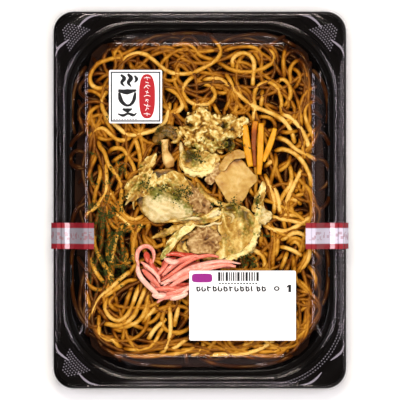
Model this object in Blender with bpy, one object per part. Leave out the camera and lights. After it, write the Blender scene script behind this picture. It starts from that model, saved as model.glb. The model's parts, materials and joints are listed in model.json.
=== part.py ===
"""Yakisoba in a shut takeaway pack: black tray, clear lid, noodles and toppings.

Lengths are in millimetres and become metres where a mesh is made. +X is the
pack's right, +Y its top edge, +Z up. The origin is the middle of the footprint,
on the surface that the tray stands on.
"""

import math

import bmesh
import bpy
from mathutils import Vector

MM = 0.001

# Pack
PACK_X = 188.0
PACK_Y = 240.0
PACK_Z = 45.0
TAPE_THICK = 0.3
GAP = 0.35
HALF_X = PACK_X / 2.0 - TAPE_THICK - GAP
HALF_Y = PACK_Y / 2.0
LID_THICK = 0.5
TRAY_THICK = 0.7
CORNER_STEPS = 9

# Heights of the pack's levels
SKIRT_Z = 21.0
FLANGE_Z = 27.0
BEAD_RISE = 2.0
PLATE_DROP = 0.7
TRAY_FLOOR_Z = 0.7
PANEL_RISE = 1.3

# Noodle heap
HEAP_TOP = 36.5
HEAP_FALL = 3.2
HEAP_REACH_X = 78.0
HEAP_REACH_Y = 104.0
RELIEF = 1.3
RELIEF_WAVE_X = 23.0
RELIEF_WAVE_Y = 27.0
HEAP_STEPS = 14

# Bed of the toppings, where the heap's relief fades out
BED_X = 54.0
BED_Y = 72.0
BED_CENTRE_Y = -3.0

# Labels and tapes
LABEL_THICK = 0.25
TITLE_CENTRE = (-40.3, 64.8)
TITLE_SIZE = (33.2, 33.4)
PRICE_CENTRE = (26.8, -66.2)
PRICE_SIZE = (66.8, 43.8)
LABEL_CORNER = 1.0
TAPE_Y = -22.6
TAPE_WIDTH = 16.5
TAPE_INBOARD = 27.0

# A section point is (inset from the pack's edge, height, corner cut, bulge).
# Bulge 1 makes the corner a quarter circle and bulge 0 a straight diagonal.
LID_SECTION = [
    (0.0, SKIRT_Z, 13.0, 1.0),
    (2.2, FLANGE_Z - 2.0, 12.0, 1.0),
    (2.9, FLANGE_Z - 1.5, 28.0, 0.1),
    (3.5, FLANGE_Z, 28.0, 0.1),
    (5.9, FLANGE_Z, 45.5, 1.0),
    (7.0, FLANGE_Z + BEAD_RISE, 45.8, 1.0),
    (8.2, FLANGE_Z + BEAD_RISE, 45.0, 1.0),
    (9.3, FLANGE_Z + 0.3, 44.5, 1.0),
    (10.8, FLANGE_Z + 0.3, 44.0, 1.0),
    (11.6, FLANGE_Z + 1.2, 44.0, 1.0),
    (20.6, PACK_Z - PLATE_DROP, 22.0, 0.4),
    (21.3, PACK_Z, 18.8, 0.15),
    (22.8, PACK_Z, 18.0, 0.15),
    (23.5, PACK_Z - PLATE_DROP, 17.6, 0.15),
]
FLANGE_POINTS = 9

TRAY_INSIDE = [
    (12.4, FLANGE_Z - 1.0, 43.5, 1.0),
    (21.6, 3.6, 34.0, 1.0),
    (24.4, TRAY_FLOOR_Z, 32.0, 1.0),
    (28.0, TRAY_FLOOR_Z, 30.0, 1.0),
    (30.0, TRAY_FLOOR_Z + PANEL_RISE, 29.0, 1.0),
]

HEAP_SIDE = [
    (25.5, TRAY_FLOOR_Z + PANEL_RISE + GAP, 32.0, 1.0),
    (22.6, 4.4, 34.0, 1.0),
    (13.9, FLANGE_Z - 2.6, 43.0, 1.0),
    (14.4, FLANGE_Z + 2.4, 42.0, 1.0),
    (17.6, FLANGE_Z + 5.6, 40.0, 1.0),
]
HEAP_RINGS = [22.5, 28.0, 34.5, 42.0, 50.0, 58.5, 67.0, 76.0, 85.0]

# Flat toppings: outline points by hand, then edge thickness, extra height in the
# middle, lift of the rim, and ridges as (height, spacing, direction in degrees)
TOPPINGS = {
    "crinkled_cabbage": {
        "outline": [(-9, 54.5), (-2, 56), (3, 59), (9, 55), (17, 52.5), (23.5, 50), (24.3, 45), (21.5, 40),
                    (22, 34), (15, 31.6), (7, 32), (0, 31.6), (-5, 34.5), (-10, 39), (-12.5, 43), (-8, 48)],
        "edge": 2.2, "dome": 2.6, "curl": 0.6, "ridge": (0.7, 7.0, 20.0),
        "colour": "#E3C77E", "steps": 30,
    },
    "small_leaf": {
        "outline": [(-13, 22), (-12.5, 28), (-8, 29.6), (-1, 29.8), (5, 29), (8, 26), (7.6, 20), (3, 16.6), (-5, 17)],
        "edge": 1.4, "dome": 0.6, "curl": 2.0, "ridge": (0.3, 9.0, 80.0),
        "colour": "#DCCB8C", "steps": 18,
    },
    "beige_piece": {
        "outline": [(9.6, 22.6), (12.4, 21.6), (12, 17.6), (9, 12.5), (5.2, 10.6), (4, 13.2), (7.6, 17)],
        "edge": 2.2, "dome": 1.2, "curl": 0.0, "ridge": (0.0, 9.0, 0.0),
        "colour": "#C7A272", "steps": 12,
    },
    "tan_slice": {
        "outline": [(10.2, 12.4), (13.6, 16.5), (14.2, 22), (18, 27.5), (23, 29.8), (26.4, 28.4), (27.4, 24),
                    (31, 18.4), (35.6, 13.4), (31, 6.5), (25.5, -1.4), (18.8, 0.6), (14, 6.4)],
        "edge": 2.6, "dome": 1.2, "curl": 1.0, "ridge": (0.25, 12.0, 50.0),
        "colour": "#CFAE70", "steps": 24,
    },
    "leaf_over_mushroom": {
        "outline": [(-28.5, 37.4), (-26, 42), (-21, 46.4), (-16, 45.6), (-13.8, 41), (-15, 37.2), (-21, 38), (-26, 36.8)],
        "edge": 1.2, "dome": 1.2, "curl": 0.8, "ridge": (0.2, 6.0, 60.0),
        "colour": "#7D6B33", "steps": 18,
    },
    "mushroom": {
        "outline": [(-24.4, 36), (-20, 36.4), (-19.2, 29), (-16, 25.5), (-16.6, 21.6), (-21, 19.8), (-25.2, 22), (-25, 29)],
        "edge": 2.0, "dome": 3.4, "curl": 0.0, "ridge": (0.0, 9.0, 0.0),
        "colour": "#D9B071", "steps": 18,
    },
    "cabbage_bit": {
        "outline": [(-38, 19.6), (-36, 23), (-31.5, 26.4), (-27.6, 27.8), (-27.4, 24.6), (-31, 21.6), (-35, 19.2)],
        "edge": 1.4, "dome": 1.2, "curl": 0.4, "ridge": (0.0, 9.0, 0.0),
        "colour": "#E1C883", "steps": 12,
    },
    "big_leaf": {
        "outline": [(-46.6, 4), (-44.6, 11), (-39, 14.8), (-32, 18.2), (-22, 17.2), (-15, 17.8), (-9.6, 13), (-6.4, 9.4),
                    (-8, 4), (-8, -1), (-4.6, -6.4), (-3.4, -10.8), (-14, -12.6), (-24, -13.6), (-32, -11.2),
                    (-36, -6), (-38.5, -1.6), (-45.6, -1.6)],
        "edge": 1.6, "dome": 3.6, "curl": 1.2, "ridge": (0.35, 11.0, 30.0),
        "colour": "#D8C48C", "steps": 32,
    },
    "pork_upper": {
        "outline": [(-4.4, 7.4), (0, 2.6), (4.6, -1.8), (6.6, -5.8), (1.6, -7.6), (-2.4, -5), (-6.2, 0), (-6, 4)],
        "edge": 1.8, "dome": 1.4, "curl": 0.6, "ridge": (0.2, 6.0, 45.0),
        "colour": "#B8875A", "steps": 14,
    },
    "leaf_fold": {
        "outline": [(-11, -13.8), (-3, -12.4), (4, -9.6), (10, -7.4), (15, -5.4), (19, -2.8), (24, -4), (28, -6.8),
                    (22, -8), (14, -8.2), (6, -12.4), (-3, -15)],
        "edge": 1.2, "dome": 2.6, "curl": 0.6, "ridge": (0.0, 9.0, 0.0),
        "colour": "#C9BE86", "steps": 22,
    },
    "lower_leaf": {
        "outline": [(13.6, -9.6), (20, -9.6), (26, -9), (30.6, -10), (32, -15), (31.8, -20.5), (28.5, -26.6),
                    (23.6, -31), (18, -33.6), (12.8, -36), (12, -31), (12.4, -24), (12.6, -16)],
        "edge": 1.4, "dome": 2.8, "curl": 1.0, "ridge": (0.5, 6.5, 25.0),
        "colour": "#BFA75C", "steps": 26,
    },
    "pork_lower": {
        "outline": [(-10.6, -25), (-6.4, -19.6), (0, -17.6), (8, -17), (11, -20), (10.8, -29), (6, -32.6), (-3, -33.6),
                    (-8.6, -30)],
        "edge": 1.8, "dome": 1.8, "curl": 0.4, "ridge": (0.3, 8.0, 70.0),
        "colour": "#A98552", "steps": 18,
    },
    "white_knob": {
        "outline": [(38.2, -6.6), (41, -5.6), (44.4, -8), (44, -12), (40.6, -14.8), (38.2, -13.4)],
        "edge": 1.6, "dome": 2.8, "curl": 0.0, "ridge": (0.0, 9.0, 0.0),
        "colour": "#EBDCA2", "steps": 12,
    },
    "ginger": {
        "outline": [(-40, -34), (-37, -29.6), (-32, -29.2), (-28.6, -32.6), (-26.6, -38.6), (-19, -40), (-11, -37.4),
                    (-3, -36.8), (4, -35.6), (9.4, -35.6), (11.6, -39.6), (19, -39.6), (26, -38.8), (26.8, -41),
                    (20, -45), (12, -50.5), (4, -56), (-6, -58.8), (-14, -60.4), (-20, -62.4), (-26, -65),
                    (-26.6, -61.6), (-30.4, -57), (-36, -51.4), (-39.6, -45), (-41, -39)],
        "edge": 2.2, "dome": 3.4, "curl": 0.0, "ridge": (0.6, 7.5, -62.0),
        "colour": "#E88476", "steps": 44,
    },
}

# Long toppings: centre-line points, thickness across, and colour
STRIPS = {
    "carrot_1": {"path": [(29, 45), (29.4, 32), (31.8, 22.6)], "radius": 2.1, "colour": "#DC7A1C"},
    "carrot_2": {"path": [(34.2, 49), (33.8, 38), (34.4, 21.5)], "radius": 1.4, "colour": "#A8521A"},
    "carrot_3": {"path": [(38, 47), (37.9, 34), (37.9, 17)], "radius": 1.9, "colour": "#F0A52C"},
    "carrot_4": {"path": [(47, 44.5), (44.4, 35), (42.4, 26.5)], "radius": 1.7, "colour": "#EFA433"},
    "sprout": {"path": [(-1, 10), (2.9, 4.4), (9, -0.6), (15.6, -2)], "radius": 1.3, "colour": "#DDBE60"},
    "leaf_strip": {"path": [(-6.4, -17.6), (-12.6, -21), (-18, -27.6), (-22, -35)], "radius": 1.8, "colour": "#E0C878"},
    "leaf_stem": {"path": [(-29, -23.4), (-22, -21.4), (-15, -18)], "radius": 1.5, "colour": "#C0A048"},
    "leaf_rim": {"path": [(39.6, 10.6), (36.6, 3), (34.8, -4.6), (34.9, -13), (34.6, -21.6), (31, -28.6), (25, -33.6)],
                 "radius": 1.8, "colour": "#E9D39A"},
}
STRIP_SIDES = 6
STRIP_SEGMENT = 4.5


def clear_scene():
    for old in list(bpy.data.objects):
        bpy.data.objects.remove(old)


def linear(channel):
    return channel / 12.92 if channel <= 0.04045 else ((channel + 0.055) / 1.055) ** 2.4


def material(name, hex_colour, roughness, alpha=1.0):
    finish = bpy.data.materials.new(name)
    finish.use_nodes = True
    shader = finish.node_tree.nodes["Principled BSDF"]
    red, green, blue = (int(hex_colour[i:i + 2], 16) / 255.0 for i in (1, 3, 5))
    shader.inputs["Base Color"].default_value = (linear(red), linear(green), linear(blue), 1.0)
    shader.inputs["Roughness"].default_value = roughness
    shader.inputs["Metallic"].default_value = 0.0
    shader.inputs["Alpha"].default_value = alpha
    return finish


def add_object(name, bm, finish, smooth_angle=math.radians(40.0)):
    """Turn a bmesh in millimetres into an object in metres."""
    bmesh.ops.recalc_face_normals(bm, faces=bm.faces)
    bmesh.ops.scale(bm, vec=(MM, MM, MM), verts=bm.verts)
    mesh = bpy.data.meshes.new(name)
    bm.to_mesh(mesh)
    bm.free()
    mesh.shade_smooth()
    mesh.set_sharp_from_angle(angle=smooth_angle)
    mesh.materials.append(finish)
    thing = bpy.data.objects.new(name, mesh)
    bpy.context.scene.collection.objects.link(thing)
    return thing


def outline(inset, corner, bulge, steps=CORNER_STEPS):
    """The pack's outline, set in from its edge, with its corners cut or rounded."""
    half_x = HALF_X - inset
    half_y = HALF_Y - inset
    quarter = []
    for i in range(steps):
        t = i / (steps - 1)
        across = bulge * math.cos(t * math.pi / 2.0) + (1.0 - bulge) * (1.0 - t)
        along = bulge * math.sin(t * math.pi / 2.0) + (1.0 - bulge) * t
        quarter.append((half_x - corner + corner * across, half_y - corner + corner * along))
    loop = list(quarter)
    loop += [(-x, y) for x, y in reversed(quarter)]
    loop += [(-x, -y) for x, y in quarter]
    loop += [(x, -y) for x, y in reversed(quarter)]
    return loop


def offset_section(section, distance):
    """Move a section square to itself; a positive distance goes up and outwards."""
    moved = []
    for i, (inset, height, corner, bulge) in enumerate(section):
        normals = []
        for a, b in ((i - 1, i), (i, i + 1)):
            if a < 0 or b >= len(section):
                continue
            run = section[b][0] - section[a][0]
            rise = section[b][1] - section[a][1]
            length = math.hypot(run, rise)
            normals.append((-rise / length, run / length))
        mean_x = sum(n[0] for n in normals) / len(normals)
        mean_z = sum(n[1] for n in normals) / len(normals)
        reach = distance / (mean_x ** 2 + mean_z ** 2)
        shrink = 1.0 if bulge > 0.5 else 2.0 - math.sqrt(2.0)
        moved.append((inset + mean_x * reach, height + mean_z * reach, corner - mean_x * reach * shrink, bulge))
    return moved


def add_ring(bm, points):
    return [bm.verts.new(point) for point in points]


def bridge(bm, ring_a, ring_b):
    count = len(ring_a)
    for i in range(count):
        j = (i + 1) % count
        bm.faces.new((ring_a[i], ring_a[j], ring_b[j], ring_b[i]))


def shell(name, section, thickness, finish):
    """A formed sheet: the section swept round the pack, with a wall thickness."""
    bm = bmesh.new()
    ends = []
    for side in (section, offset_section(section, -thickness)):
        rings = []
        for inset, height, corner, bulge in side:
            loop = outline(inset, corner, bulge)
            rings.append(add_ring(bm, [(x, y, height) for x, y in loop]))
        for ring_a, ring_b in zip(rings, rings[1:]):
            bridge(bm, ring_a, ring_b)
        bm.faces.new(rings[-1])
        ends.append(rings[0])
    bridge(bm, ends[0], ends[1])
    return add_object(name, bm, finish)


def heap_base(x, y):
    """Height of the noodle bed without its relief."""
    return HEAP_TOP - HEAP_FALL * (abs(x / HEAP_REACH_X) ** 4 + abs(y / HEAP_REACH_Y) ** 4)


def heap_height(x, y):
    """Height of the noodle heap; loops stand proud of it away from the toppings."""
    away = (x / BED_X) ** 2 + ((y - BED_CENTRE_Y) / BED_Y) ** 2
    share = min(1.0, max(0.0, (away - 1.0) / 0.5))
    wave = math.sin(2.0 * math.pi * x / RELIEF_WAVE_X + 0.03 * y) * math.cos(2.0 * math.pi * y / RELIEF_WAVE_Y)
    return heap_base(x, y) + RELIEF * share * wave


def make_noodles(finish):
    bm = bmesh.new()
    rings = []
    for inset, height, corner, bulge in HEAP_SIDE:
        loop = outline(inset, corner, bulge, HEAP_STEPS)
        rings.append(add_ring(bm, [(x, y, height) for x, y in loop]))
    for inset in HEAP_RINGS:
        corner = min(38.0, (HALF_X - inset) * 0.9)
        loop = outline(inset, corner, 1.0, HEAP_STEPS)
        rings.append(add_ring(bm, [(x, y, heap_height(x, y)) for x, y in loop]))
    for ring_a, ring_b in zip(rings, rings[1:]):
        bridge(bm, ring_a, ring_b)
    bm.faces.new(rings[0])
    bm.faces.new(rings[-1])
    bmesh.ops.triangulate(bm, faces=bm.faces)
    return add_object("noodles", bm, finish)


def smooth_loop(points, count):
    """Even points on a closed smooth curve through the given ones."""
    dense = []
    size = len(points)
    per_span = 12
    for i in range(size):
        p0, p1, p2, p3 = (Vector(points[(i + k) % size]) for k in (-1, 0, 1, 2))
        for k in range(per_span):
            t = k / per_span
            dense.append(0.5 * (2 * p1 + (p2 - p0) * t + (2 * p0 - 5 * p1 + 4 * p2 - p3) * t * t
                                + (3 * p1 - p0 - 3 * p2 + p3) * t ** 3))
    lengths = [(dense[(i + 1) % len(dense)] - dense[i]).length for i in range(len(dense))]
    total = sum(lengths)
    loop = []
    place = 0.0
    index = 0
    for k in range(count):
        target = total * k / count
        while place + lengths[index] < target:
            place += lengths[index]
            index += 1
        share = (target - place) / lengths[index]
        loop.append(dense[index].lerp(dense[(index + 1) % len(dense)], share))
    return loop


def make_topping(name, facts, finish):
    """A leaf, slice or lump that lies on the noodle bed."""
    loop = smooth_loop(facts["outline"], facts["steps"])
    centre = sum(loop, Vector((0.0, 0.0))) / len(loop)
    ridge_height, ridge_spacing, ridge_angle = facts["ridge"]
    ridge_way = Vector((math.cos(math.radians(ridge_angle)), math.sin(math.radians(ridge_angle))))
    fractions = (1.0, 0.7, 0.35) if facts["steps"] > 16 else (1.0, 0.55)
    bm = bmesh.new()
    tops = []
    bottoms = []
    for share in fractions + (0.0,):
        top = []
        bottom = []
        for point in (loop if share else [centre]):
            place = centre + (point - centre) * share
            low = heap_base(*place) + GAP + facts["curl"] * share ** 3
            thick = facts["edge"] + facts["dome"] * (1.0 - share ** 2)
            thick += ridge_height * math.sin(2.0 * math.pi * place.dot(ridge_way) / ridge_spacing) * (1.0 - share ** 4)
            bottom.append((place.x, place.y, low))
            top.append((place.x, place.y, low + thick))
        tops.append(add_ring(bm, top))
        bottoms.append(add_ring(bm, bottom))
    for rings in (tops, bottoms):
        for ring_a, ring_b in zip(rings[:-1], rings[1:-1]):
            bridge(bm, ring_a, ring_b)
        last = rings[-2]
        for i in range(len(last)):
            bm.faces.new((last[i], last[(i + 1) % len(last)], rings[-1][0]))
    bridge(bm, tops[0], bottoms[0])
    bmesh.ops.triangulate(bm, faces=bm.faces)
    return add_object(name, bm, finish, math.radians(55.0))


def make_strip(name, facts, finish):
    """A stick, stem or rolled rim: rings along a centre line, closed at both ends."""
    points = [Vector(p) for p in facts["path"]]
    radius = facts["radius"]
    bm = bmesh.new()
    rings = []
    spans = len(points) - 1
    length = sum((b - a).length for a, b in zip(points, points[1:]))
    stations = max(3, round(length / STRIP_SEGMENT))
    for k in range(stations + 1):
        place = spans * k / stations
        index = min(spans - 1, int(place))
        t = place - index
        p0 = points[max(0, index - 1)]
        p1, p2 = points[index], points[index + 1]
        p3 = points[min(spans, index + 2)]
        centre = 0.5 * (2 * p1 + (p2 - p0) * t + (2 * p0 - 5 * p1 + 4 * p2 - p3) * t * t
                        + (3 * p1 - p0 - 3 * p2 + p3) * t ** 3)
        along = 0.5 * ((p2 - p0) + 2 * (2 * p0 - 5 * p1 + 4 * p2 - p3) * t + 3 * (3 * p1 - p0 - 3 * p2 + p3) * t * t)
        side = Vector((-along.y, along.x)).normalized()
        taper = 0.72 if k in (0, stations) else 1.0
        height = heap_base(*centre) + GAP + radius
        ring = []
        for s in range(STRIP_SIDES):
            angle = 2.0 * math.pi * (s + 0.5) / STRIP_SIDES
            across = centre + side * (radius * taper * math.cos(angle))
            ring.append((across.x, across.y, height + radius * taper * math.sin(angle)))
        rings.append(add_ring(bm, ring))
    for ring_a, ring_b in zip(rings, rings[1:]):
        bridge(bm, ring_a, ring_b)
    bm.faces.new(rings[0])
    bm.faces.new(rings[-1])
    bmesh.ops.triangulate(bm, faces=bm.faces)
    return add_object(name, bm, finish)


def make_label(name, centre, size, finish):
    """A thin rounded card that is stuck on the lid's plate."""
    half_x, half_y = size[0] / 2.0, size[1] / 2.0
    bm = bmesh.new()
    ring = []
    for turn in range(4):
        sign_x = (1, -1, -1, 1)[turn]
        sign_y = (1, 1, -1, -1)[turn]
        for k in range(4):
            angle = math.radians(90.0 * turn + 30.0 * k)
            ring.append((centre[0] + sign_x * (half_x - LABEL_CORNER) + LABEL_CORNER * math.cos(angle),
                         centre[1] + sign_y * (half_y - LABEL_CORNER) + LABEL_CORNER * math.sin(angle),
                         PACK_Z - PLATE_DROP + GAP))
    face = bm.faces.new(add_ring(bm, ring))
    grown = bmesh.ops.extrude_face_region(bm, geom=[face])
    moved = [v for v in grown["geom"] if isinstance(v, bmesh.types.BMVert)]
    bmesh.ops.translate(bm, vec=(0.0, 0.0, LABEL_THICK), verts=moved)
    return add_object(name, bm, finish)


def make_tape(name, side, finish):
    """A strip of tape from the plate, down the wall and over the pack's edge."""
    plate_z = PACK_Z - PLATE_DROP
    route = [point for point in LID_SECTION if not 8.5 < point[0] < 11.0]
    route.append((TAPE_INBOARD, plate_z, 0.0, 1.0))
    under = offset_section(route, GAP)
    over = offset_section(route, GAP + TAPE_THICK)
    bm = bmesh.new()
    loop = [(inset, height) for inset, height, _, _ in under]
    loop += [(inset, height) for inset, height, _, _ in reversed(over)]
    ends = []
    for y in (TAPE_Y - TAPE_WIDTH / 2.0, TAPE_Y + TAPE_WIDTH / 2.0):
        ends.append(add_ring(bm, [(side * (HALF_X - inset), y, height) for inset, height in loop]))
    bridge(bm, ends[0], ends[1])
    bm.faces.new(ends[0])
    bm.faces.new(ends[1])
    bmesh.ops.triangulate(bm, faces=bm.faces)
    return add_object(name, bm, finish)


def build():
    clear_scene()
    tray_top = offset_section(LID_SECTION, -(LID_THICK + GAP))[:FLANGE_POINTS - 1]
    shell("tray", tray_top + TRAY_INSIDE, TRAY_THICK, material("tray black", "#0E0E10", 0.25))
    shell("lid", LID_SECTION, LID_THICK, material("lid clear", "#F4F6F8", 0.05, 0.15))
    make_noodles(material("noodle gold", "#D99A3C", 0.4))
    for name, facts in TOPPINGS.items():
        make_topping(name, facts, material(name + " colour", facts["colour"], 0.45))
    for name, facts in STRIPS.items():
        make_strip(name, facts, material(name + " colour", facts["colour"], 0.4))
    paper = material("label white", "#FBFBF9", 0.5)
    make_label("title_label", TITLE_CENTRE, TITLE_SIZE, paper)
    make_label("price_label", PRICE_CENTRE, PRICE_SIZE, paper)
    tape = material("tape red", "#C01530", 0.3)
    make_tape("tape_left", -1.0, tape)
    make_tape("tape_right", 1.0, tape)


build()
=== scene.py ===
# %% [markdown]
# # Fried noodles in a black tray under a clear lid
# A takeaway meal seen from straight above. A black formed tray holds a bed of
# sauced wheat noodles with cabbage, mushroom, pork, carrot and red ginger on it.
# A clear formed lid is pushed over the tray, two paper labels are stuck on its
# top plate and two printed tapes hold it shut. Each step below makes one part.

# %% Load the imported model
import json
import math

import bmesh
import bpy
import numpy as np
from mathutils import Matrix, Vector, noise

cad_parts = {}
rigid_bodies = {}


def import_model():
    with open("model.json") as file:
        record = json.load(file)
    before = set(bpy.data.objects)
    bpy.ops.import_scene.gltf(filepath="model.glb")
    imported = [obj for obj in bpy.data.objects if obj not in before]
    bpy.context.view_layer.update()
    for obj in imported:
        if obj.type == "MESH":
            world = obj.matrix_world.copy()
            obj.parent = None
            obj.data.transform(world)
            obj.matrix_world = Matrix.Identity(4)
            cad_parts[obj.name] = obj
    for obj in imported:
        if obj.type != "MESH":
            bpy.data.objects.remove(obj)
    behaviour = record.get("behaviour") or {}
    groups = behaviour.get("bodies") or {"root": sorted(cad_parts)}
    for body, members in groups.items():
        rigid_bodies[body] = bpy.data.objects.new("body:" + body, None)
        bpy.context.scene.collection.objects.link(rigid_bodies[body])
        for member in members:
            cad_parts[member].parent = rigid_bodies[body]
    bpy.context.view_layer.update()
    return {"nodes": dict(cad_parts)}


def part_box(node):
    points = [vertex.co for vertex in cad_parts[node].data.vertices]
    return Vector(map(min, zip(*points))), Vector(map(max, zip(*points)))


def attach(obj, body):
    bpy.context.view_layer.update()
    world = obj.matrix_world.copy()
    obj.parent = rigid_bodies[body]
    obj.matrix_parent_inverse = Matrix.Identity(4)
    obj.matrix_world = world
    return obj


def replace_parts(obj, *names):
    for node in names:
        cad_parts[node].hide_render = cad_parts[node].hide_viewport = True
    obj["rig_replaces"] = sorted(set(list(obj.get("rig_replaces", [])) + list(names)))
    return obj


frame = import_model()
MM = 0.001
print("nodes:", len(frame["nodes"]))

# %% [markdown]
# ## Small helpers
# Colours are written as hex values, and one function
# turns them into the linear numbers that Blender wants. Another adds a shader
# node with its settings and links, so that each material reads as a short list.


# %% Helpers for colour, nodes and objects
def paint(hex_code, alpha=1.0):
    """sRGB hex to linear RGBA."""
    channels = [int(hex_code[i:i + 2], 16) / 255.0 for i in (1, 3, 5)]
    return tuple(c / 12.92 if c <= 0.04045 else ((c + 0.055) / 1.055) ** 2.4 for c in channels) + (alpha,)


def add(tree, kind, inputs=None, stops=None, **settings):
    """Add a node; inputs holds plain values or sockets to link from, stops a ramp's (place, hex) pairs."""
    made = tree.nodes.new("ShaderNode" + kind)
    for name, value in settings.items():
        setattr(made, name, value)
    for name, value in (inputs or {}).items():
        if isinstance(value, bpy.types.NodeSocket):
            tree.links.new(value, made.inputs[name])
        else:
            made.inputs[name].default_value = value
    if stops:
        elements = made.color_ramp.elements
        while len(elements) < len(stops):
            elements.new(0.5)
        for element, (place, hex_code) in zip(elements, stops):
            element.position = place
            element.color = paint(hex_code)
    return made


def new_material(name):
    """A material with an empty node tree, and its output node."""
    finish = bpy.data.materials.new(name)
    finish.use_nodes = True
    finish.node_tree.nodes.clear()
    return finish, finish.node_tree, add(finish.node_tree, "OutputMaterial")


def make_piece(name, bm, finishes, replaced=(), smooth_angle=None):
    """Turn a finished bmesh into a named piece that rides on the pack."""
    mesh = bpy.data.meshes.new(name)
    bm.to_mesh(mesh)
    bm.free()
    mesh.shade_smooth()
    if smooth_angle is not None:
        mesh.set_sharp_from_angle(angle=math.radians(smooth_angle))
    for finish in finishes:
        mesh.materials.append(finish)
    piece = bpy.data.objects.new(name, mesh)
    bpy.context.scene.collection.objects.link(piece)
    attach(piece, "root")
    if replaced:
        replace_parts(piece, *replaced)
    print(name, "faces", len(mesh.polygons))
    return piece


def loft(bm, rings, start_cap=True, end_cap=True, finish=0):
    """Lay a circle on the first ring of points and extrude it from ring to ring."""
    before = set(bm.faces)
    ring = bmesh.ops.create_circle(bm, segments=len(rings[0]), radius=1.0)["verts"]
    edges = list({e for v in ring for e in v.link_edges})
    for vert, place in zip(ring, rings[0]):
        vert.co = place
    if start_cap:
        bmesh.ops.contextual_create(bm, geom=edges)
    for points in rings[1:]:
        made = bmesh.ops.extrude_edge_only(bm, edges=edges)["geom"]
        fresh = {v for v in made if isinstance(v, bmesh.types.BMVert)}
        ring = [next(e.other_vert(v) for e in v.link_edges if e.other_vert(v) in fresh) for v in ring]
        for vert, place in zip(ring, points):
            vert.co = place
        edges = [e for e in made if isinstance(e, bmesh.types.BMEdge) and all(v in fresh for v in e.verts)]
    if end_cap:
        bmesh.ops.contextual_create(bm, geom=edges)
    faces = [f for f in bm.faces if f not in before]
    for face in faces:
        face.material_index = finish
    return faces


def pour(small, bm):
    """Move a small finished bmesh into a larger one: operators are far quicker on a small one."""
    mesh = bpy.data.meshes.new("part")
    small.to_mesh(mesh)
    small.free()
    bm.from_mesh(mesh)
    bpy.data.meshes.remove(mesh)


# %% [markdown]
# ## Camera, floor and light
# The pack is seen from straight above, from far enough away that the tray's
# sides hardly lean. The light comes from four soft boxes set low round the
# table, the way flat food is lit, so that nothing mirrors straight up out of
# the lid. The side boxes are a little cool and the end boxes a little warm.

# %% Camera straight above
CAMERA_HEIGHT = 3.0
FRAME_WIDTH = 252.6 * MM
FOCUS_LEVEL = 23.0 * MM
camera_data = bpy.data.cameras.new("camera")
camera_data.sensor_width = 36.0
camera_data.lens = 36.0 * (CAMERA_HEIGHT - FOCUS_LEVEL) / FRAME_WIDTH
camera_data.clip_start = 0.01
camera_data.clip_end = 60.0
camera = bpy.data.objects.new("camera", camera_data)
camera.location = (0.1 * MM, 0.0, CAMERA_HEIGHT)
bpy.context.scene.collection.objects.link(camera)
bpy.context.scene.camera = camera
bpy.context.scene.view_settings.view_transform = "Standard"
print("lens", round(camera_data.lens, 1))

# %% Floor and world
floor_bm = bmesh.new()
bmesh.ops.create_grid(floor_bm, x_segments=1, y_segments=1, size=4.0)
bmesh.ops.translate(floor_bm, verts=floor_bm.verts, vec=(0, 0, -0.1 * MM))
floor_mesh = bpy.data.meshes.new("floor")
floor_bm.to_mesh(floor_mesh)
floor_bm.free()
floor = bpy.data.objects.new("floor", floor_mesh)
bpy.context.scene.collection.objects.link(floor)
floor_finish, tree, out = new_material("white_table")
# seen straight it is a white table; in the plastic's mirror it is dimmer, as a table beyond the light is
white = add(tree, "BsdfDiffuse", {"Color": paint("#FAFAFA")})
# the side light falls on the table from the right, so its mirror image is dark on the left
across = add(tree, "SeparateXYZ", {"Vector": add(tree, "TexCoord").outputs["Object"]})
lit_part = add(tree, "MapRange", {"Value": across.outputs["X"], "From Min": -0.112, "From Max": -0.07, "To Min": 0.02, "To Max": 0.26})
beyond = add(tree, "BsdfDiffuse", {"Color": lit_part.outputs[0]})
mirrored = add(tree, "LightPath")
table = add(tree, "MixShader", {0: mirrored.outputs["Is Glossy Ray"], 1: white.outputs[0], 2: beyond.outputs[0]})
tree.links.new(table.outputs[0], out.inputs["Surface"])
floor_mesh.materials.append(floor_finish)

world = bpy.data.worlds.new("studio")
world.use_nodes = True
bpy.context.scene.world = world
tree = world.node_tree
tree.nodes.clear()
way = add(tree, "TexCoord")
split = add(tree, "SeparateXYZ", {"Vector": way.outputs["Generated"]})
# the room is dark apart from the boxes, so the plastic mirrors little; the view itself sees a pale backdrop
room = add(tree, "ValToRGB", {"Fac": split.outputs["Z"]},
           stops=[(0.0, "#8C8C90"), (0.12, "#5C5C60"), (0.45, "#333336"), (1.0, "#161618")])
seen = add(tree, "LightPath")
sky = add(tree, "Mix", {0: seen.outputs["Is Camera Ray"], 6: room.outputs["Color"], 7: paint("#ECECEC")}, data_type="RGBA")
sky_light = add(tree, "Background", {"Color": sky.outputs[2], "Strength": 1.0})
add(tree, "OutputWorld", {"Surface": sky_light.outputs[0]})


# %% Soft boxes
def soft_box(name, azimuth, elevation, distance, size, power, tint):
    """A rectangular area light that looks at the pack."""
    lamp = bpy.data.lights.new(name, "AREA")
    lamp.shape = "RECTANGLE"
    lamp.size, lamp.size_y = size
    lamp.energy = power
    lamp.color = paint(tint)[:3]
    box = bpy.data.objects.new(name, lamp)
    a, e = math.radians(azimuth), math.radians(elevation)
    box.location = Vector((math.cos(a) * math.cos(e), math.sin(a) * math.cos(e), math.sin(e))) * distance
    box.rotation_euler = (-box.location).to_track_quat("-Z", "Y").to_euler()
    bpy.context.scene.collection.objects.link(box)
    return box


soft_box("box_left", 180, 68, 1.5, (0.6, 0.4), 8.5, "#F6F2FA")
soft_box("box_right", 0, 68, 1.5, (0.6, 0.4), 9.5, "#F6F2FA")
soft_box("box_top", 90, 68, 1.5, (0.6, 0.4), 13.0, "#FFF8EC")
soft_box("box_bottom", -90, 66, 1.5, (0.6, 0.4), 7.5, "#FFF8EC")

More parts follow.
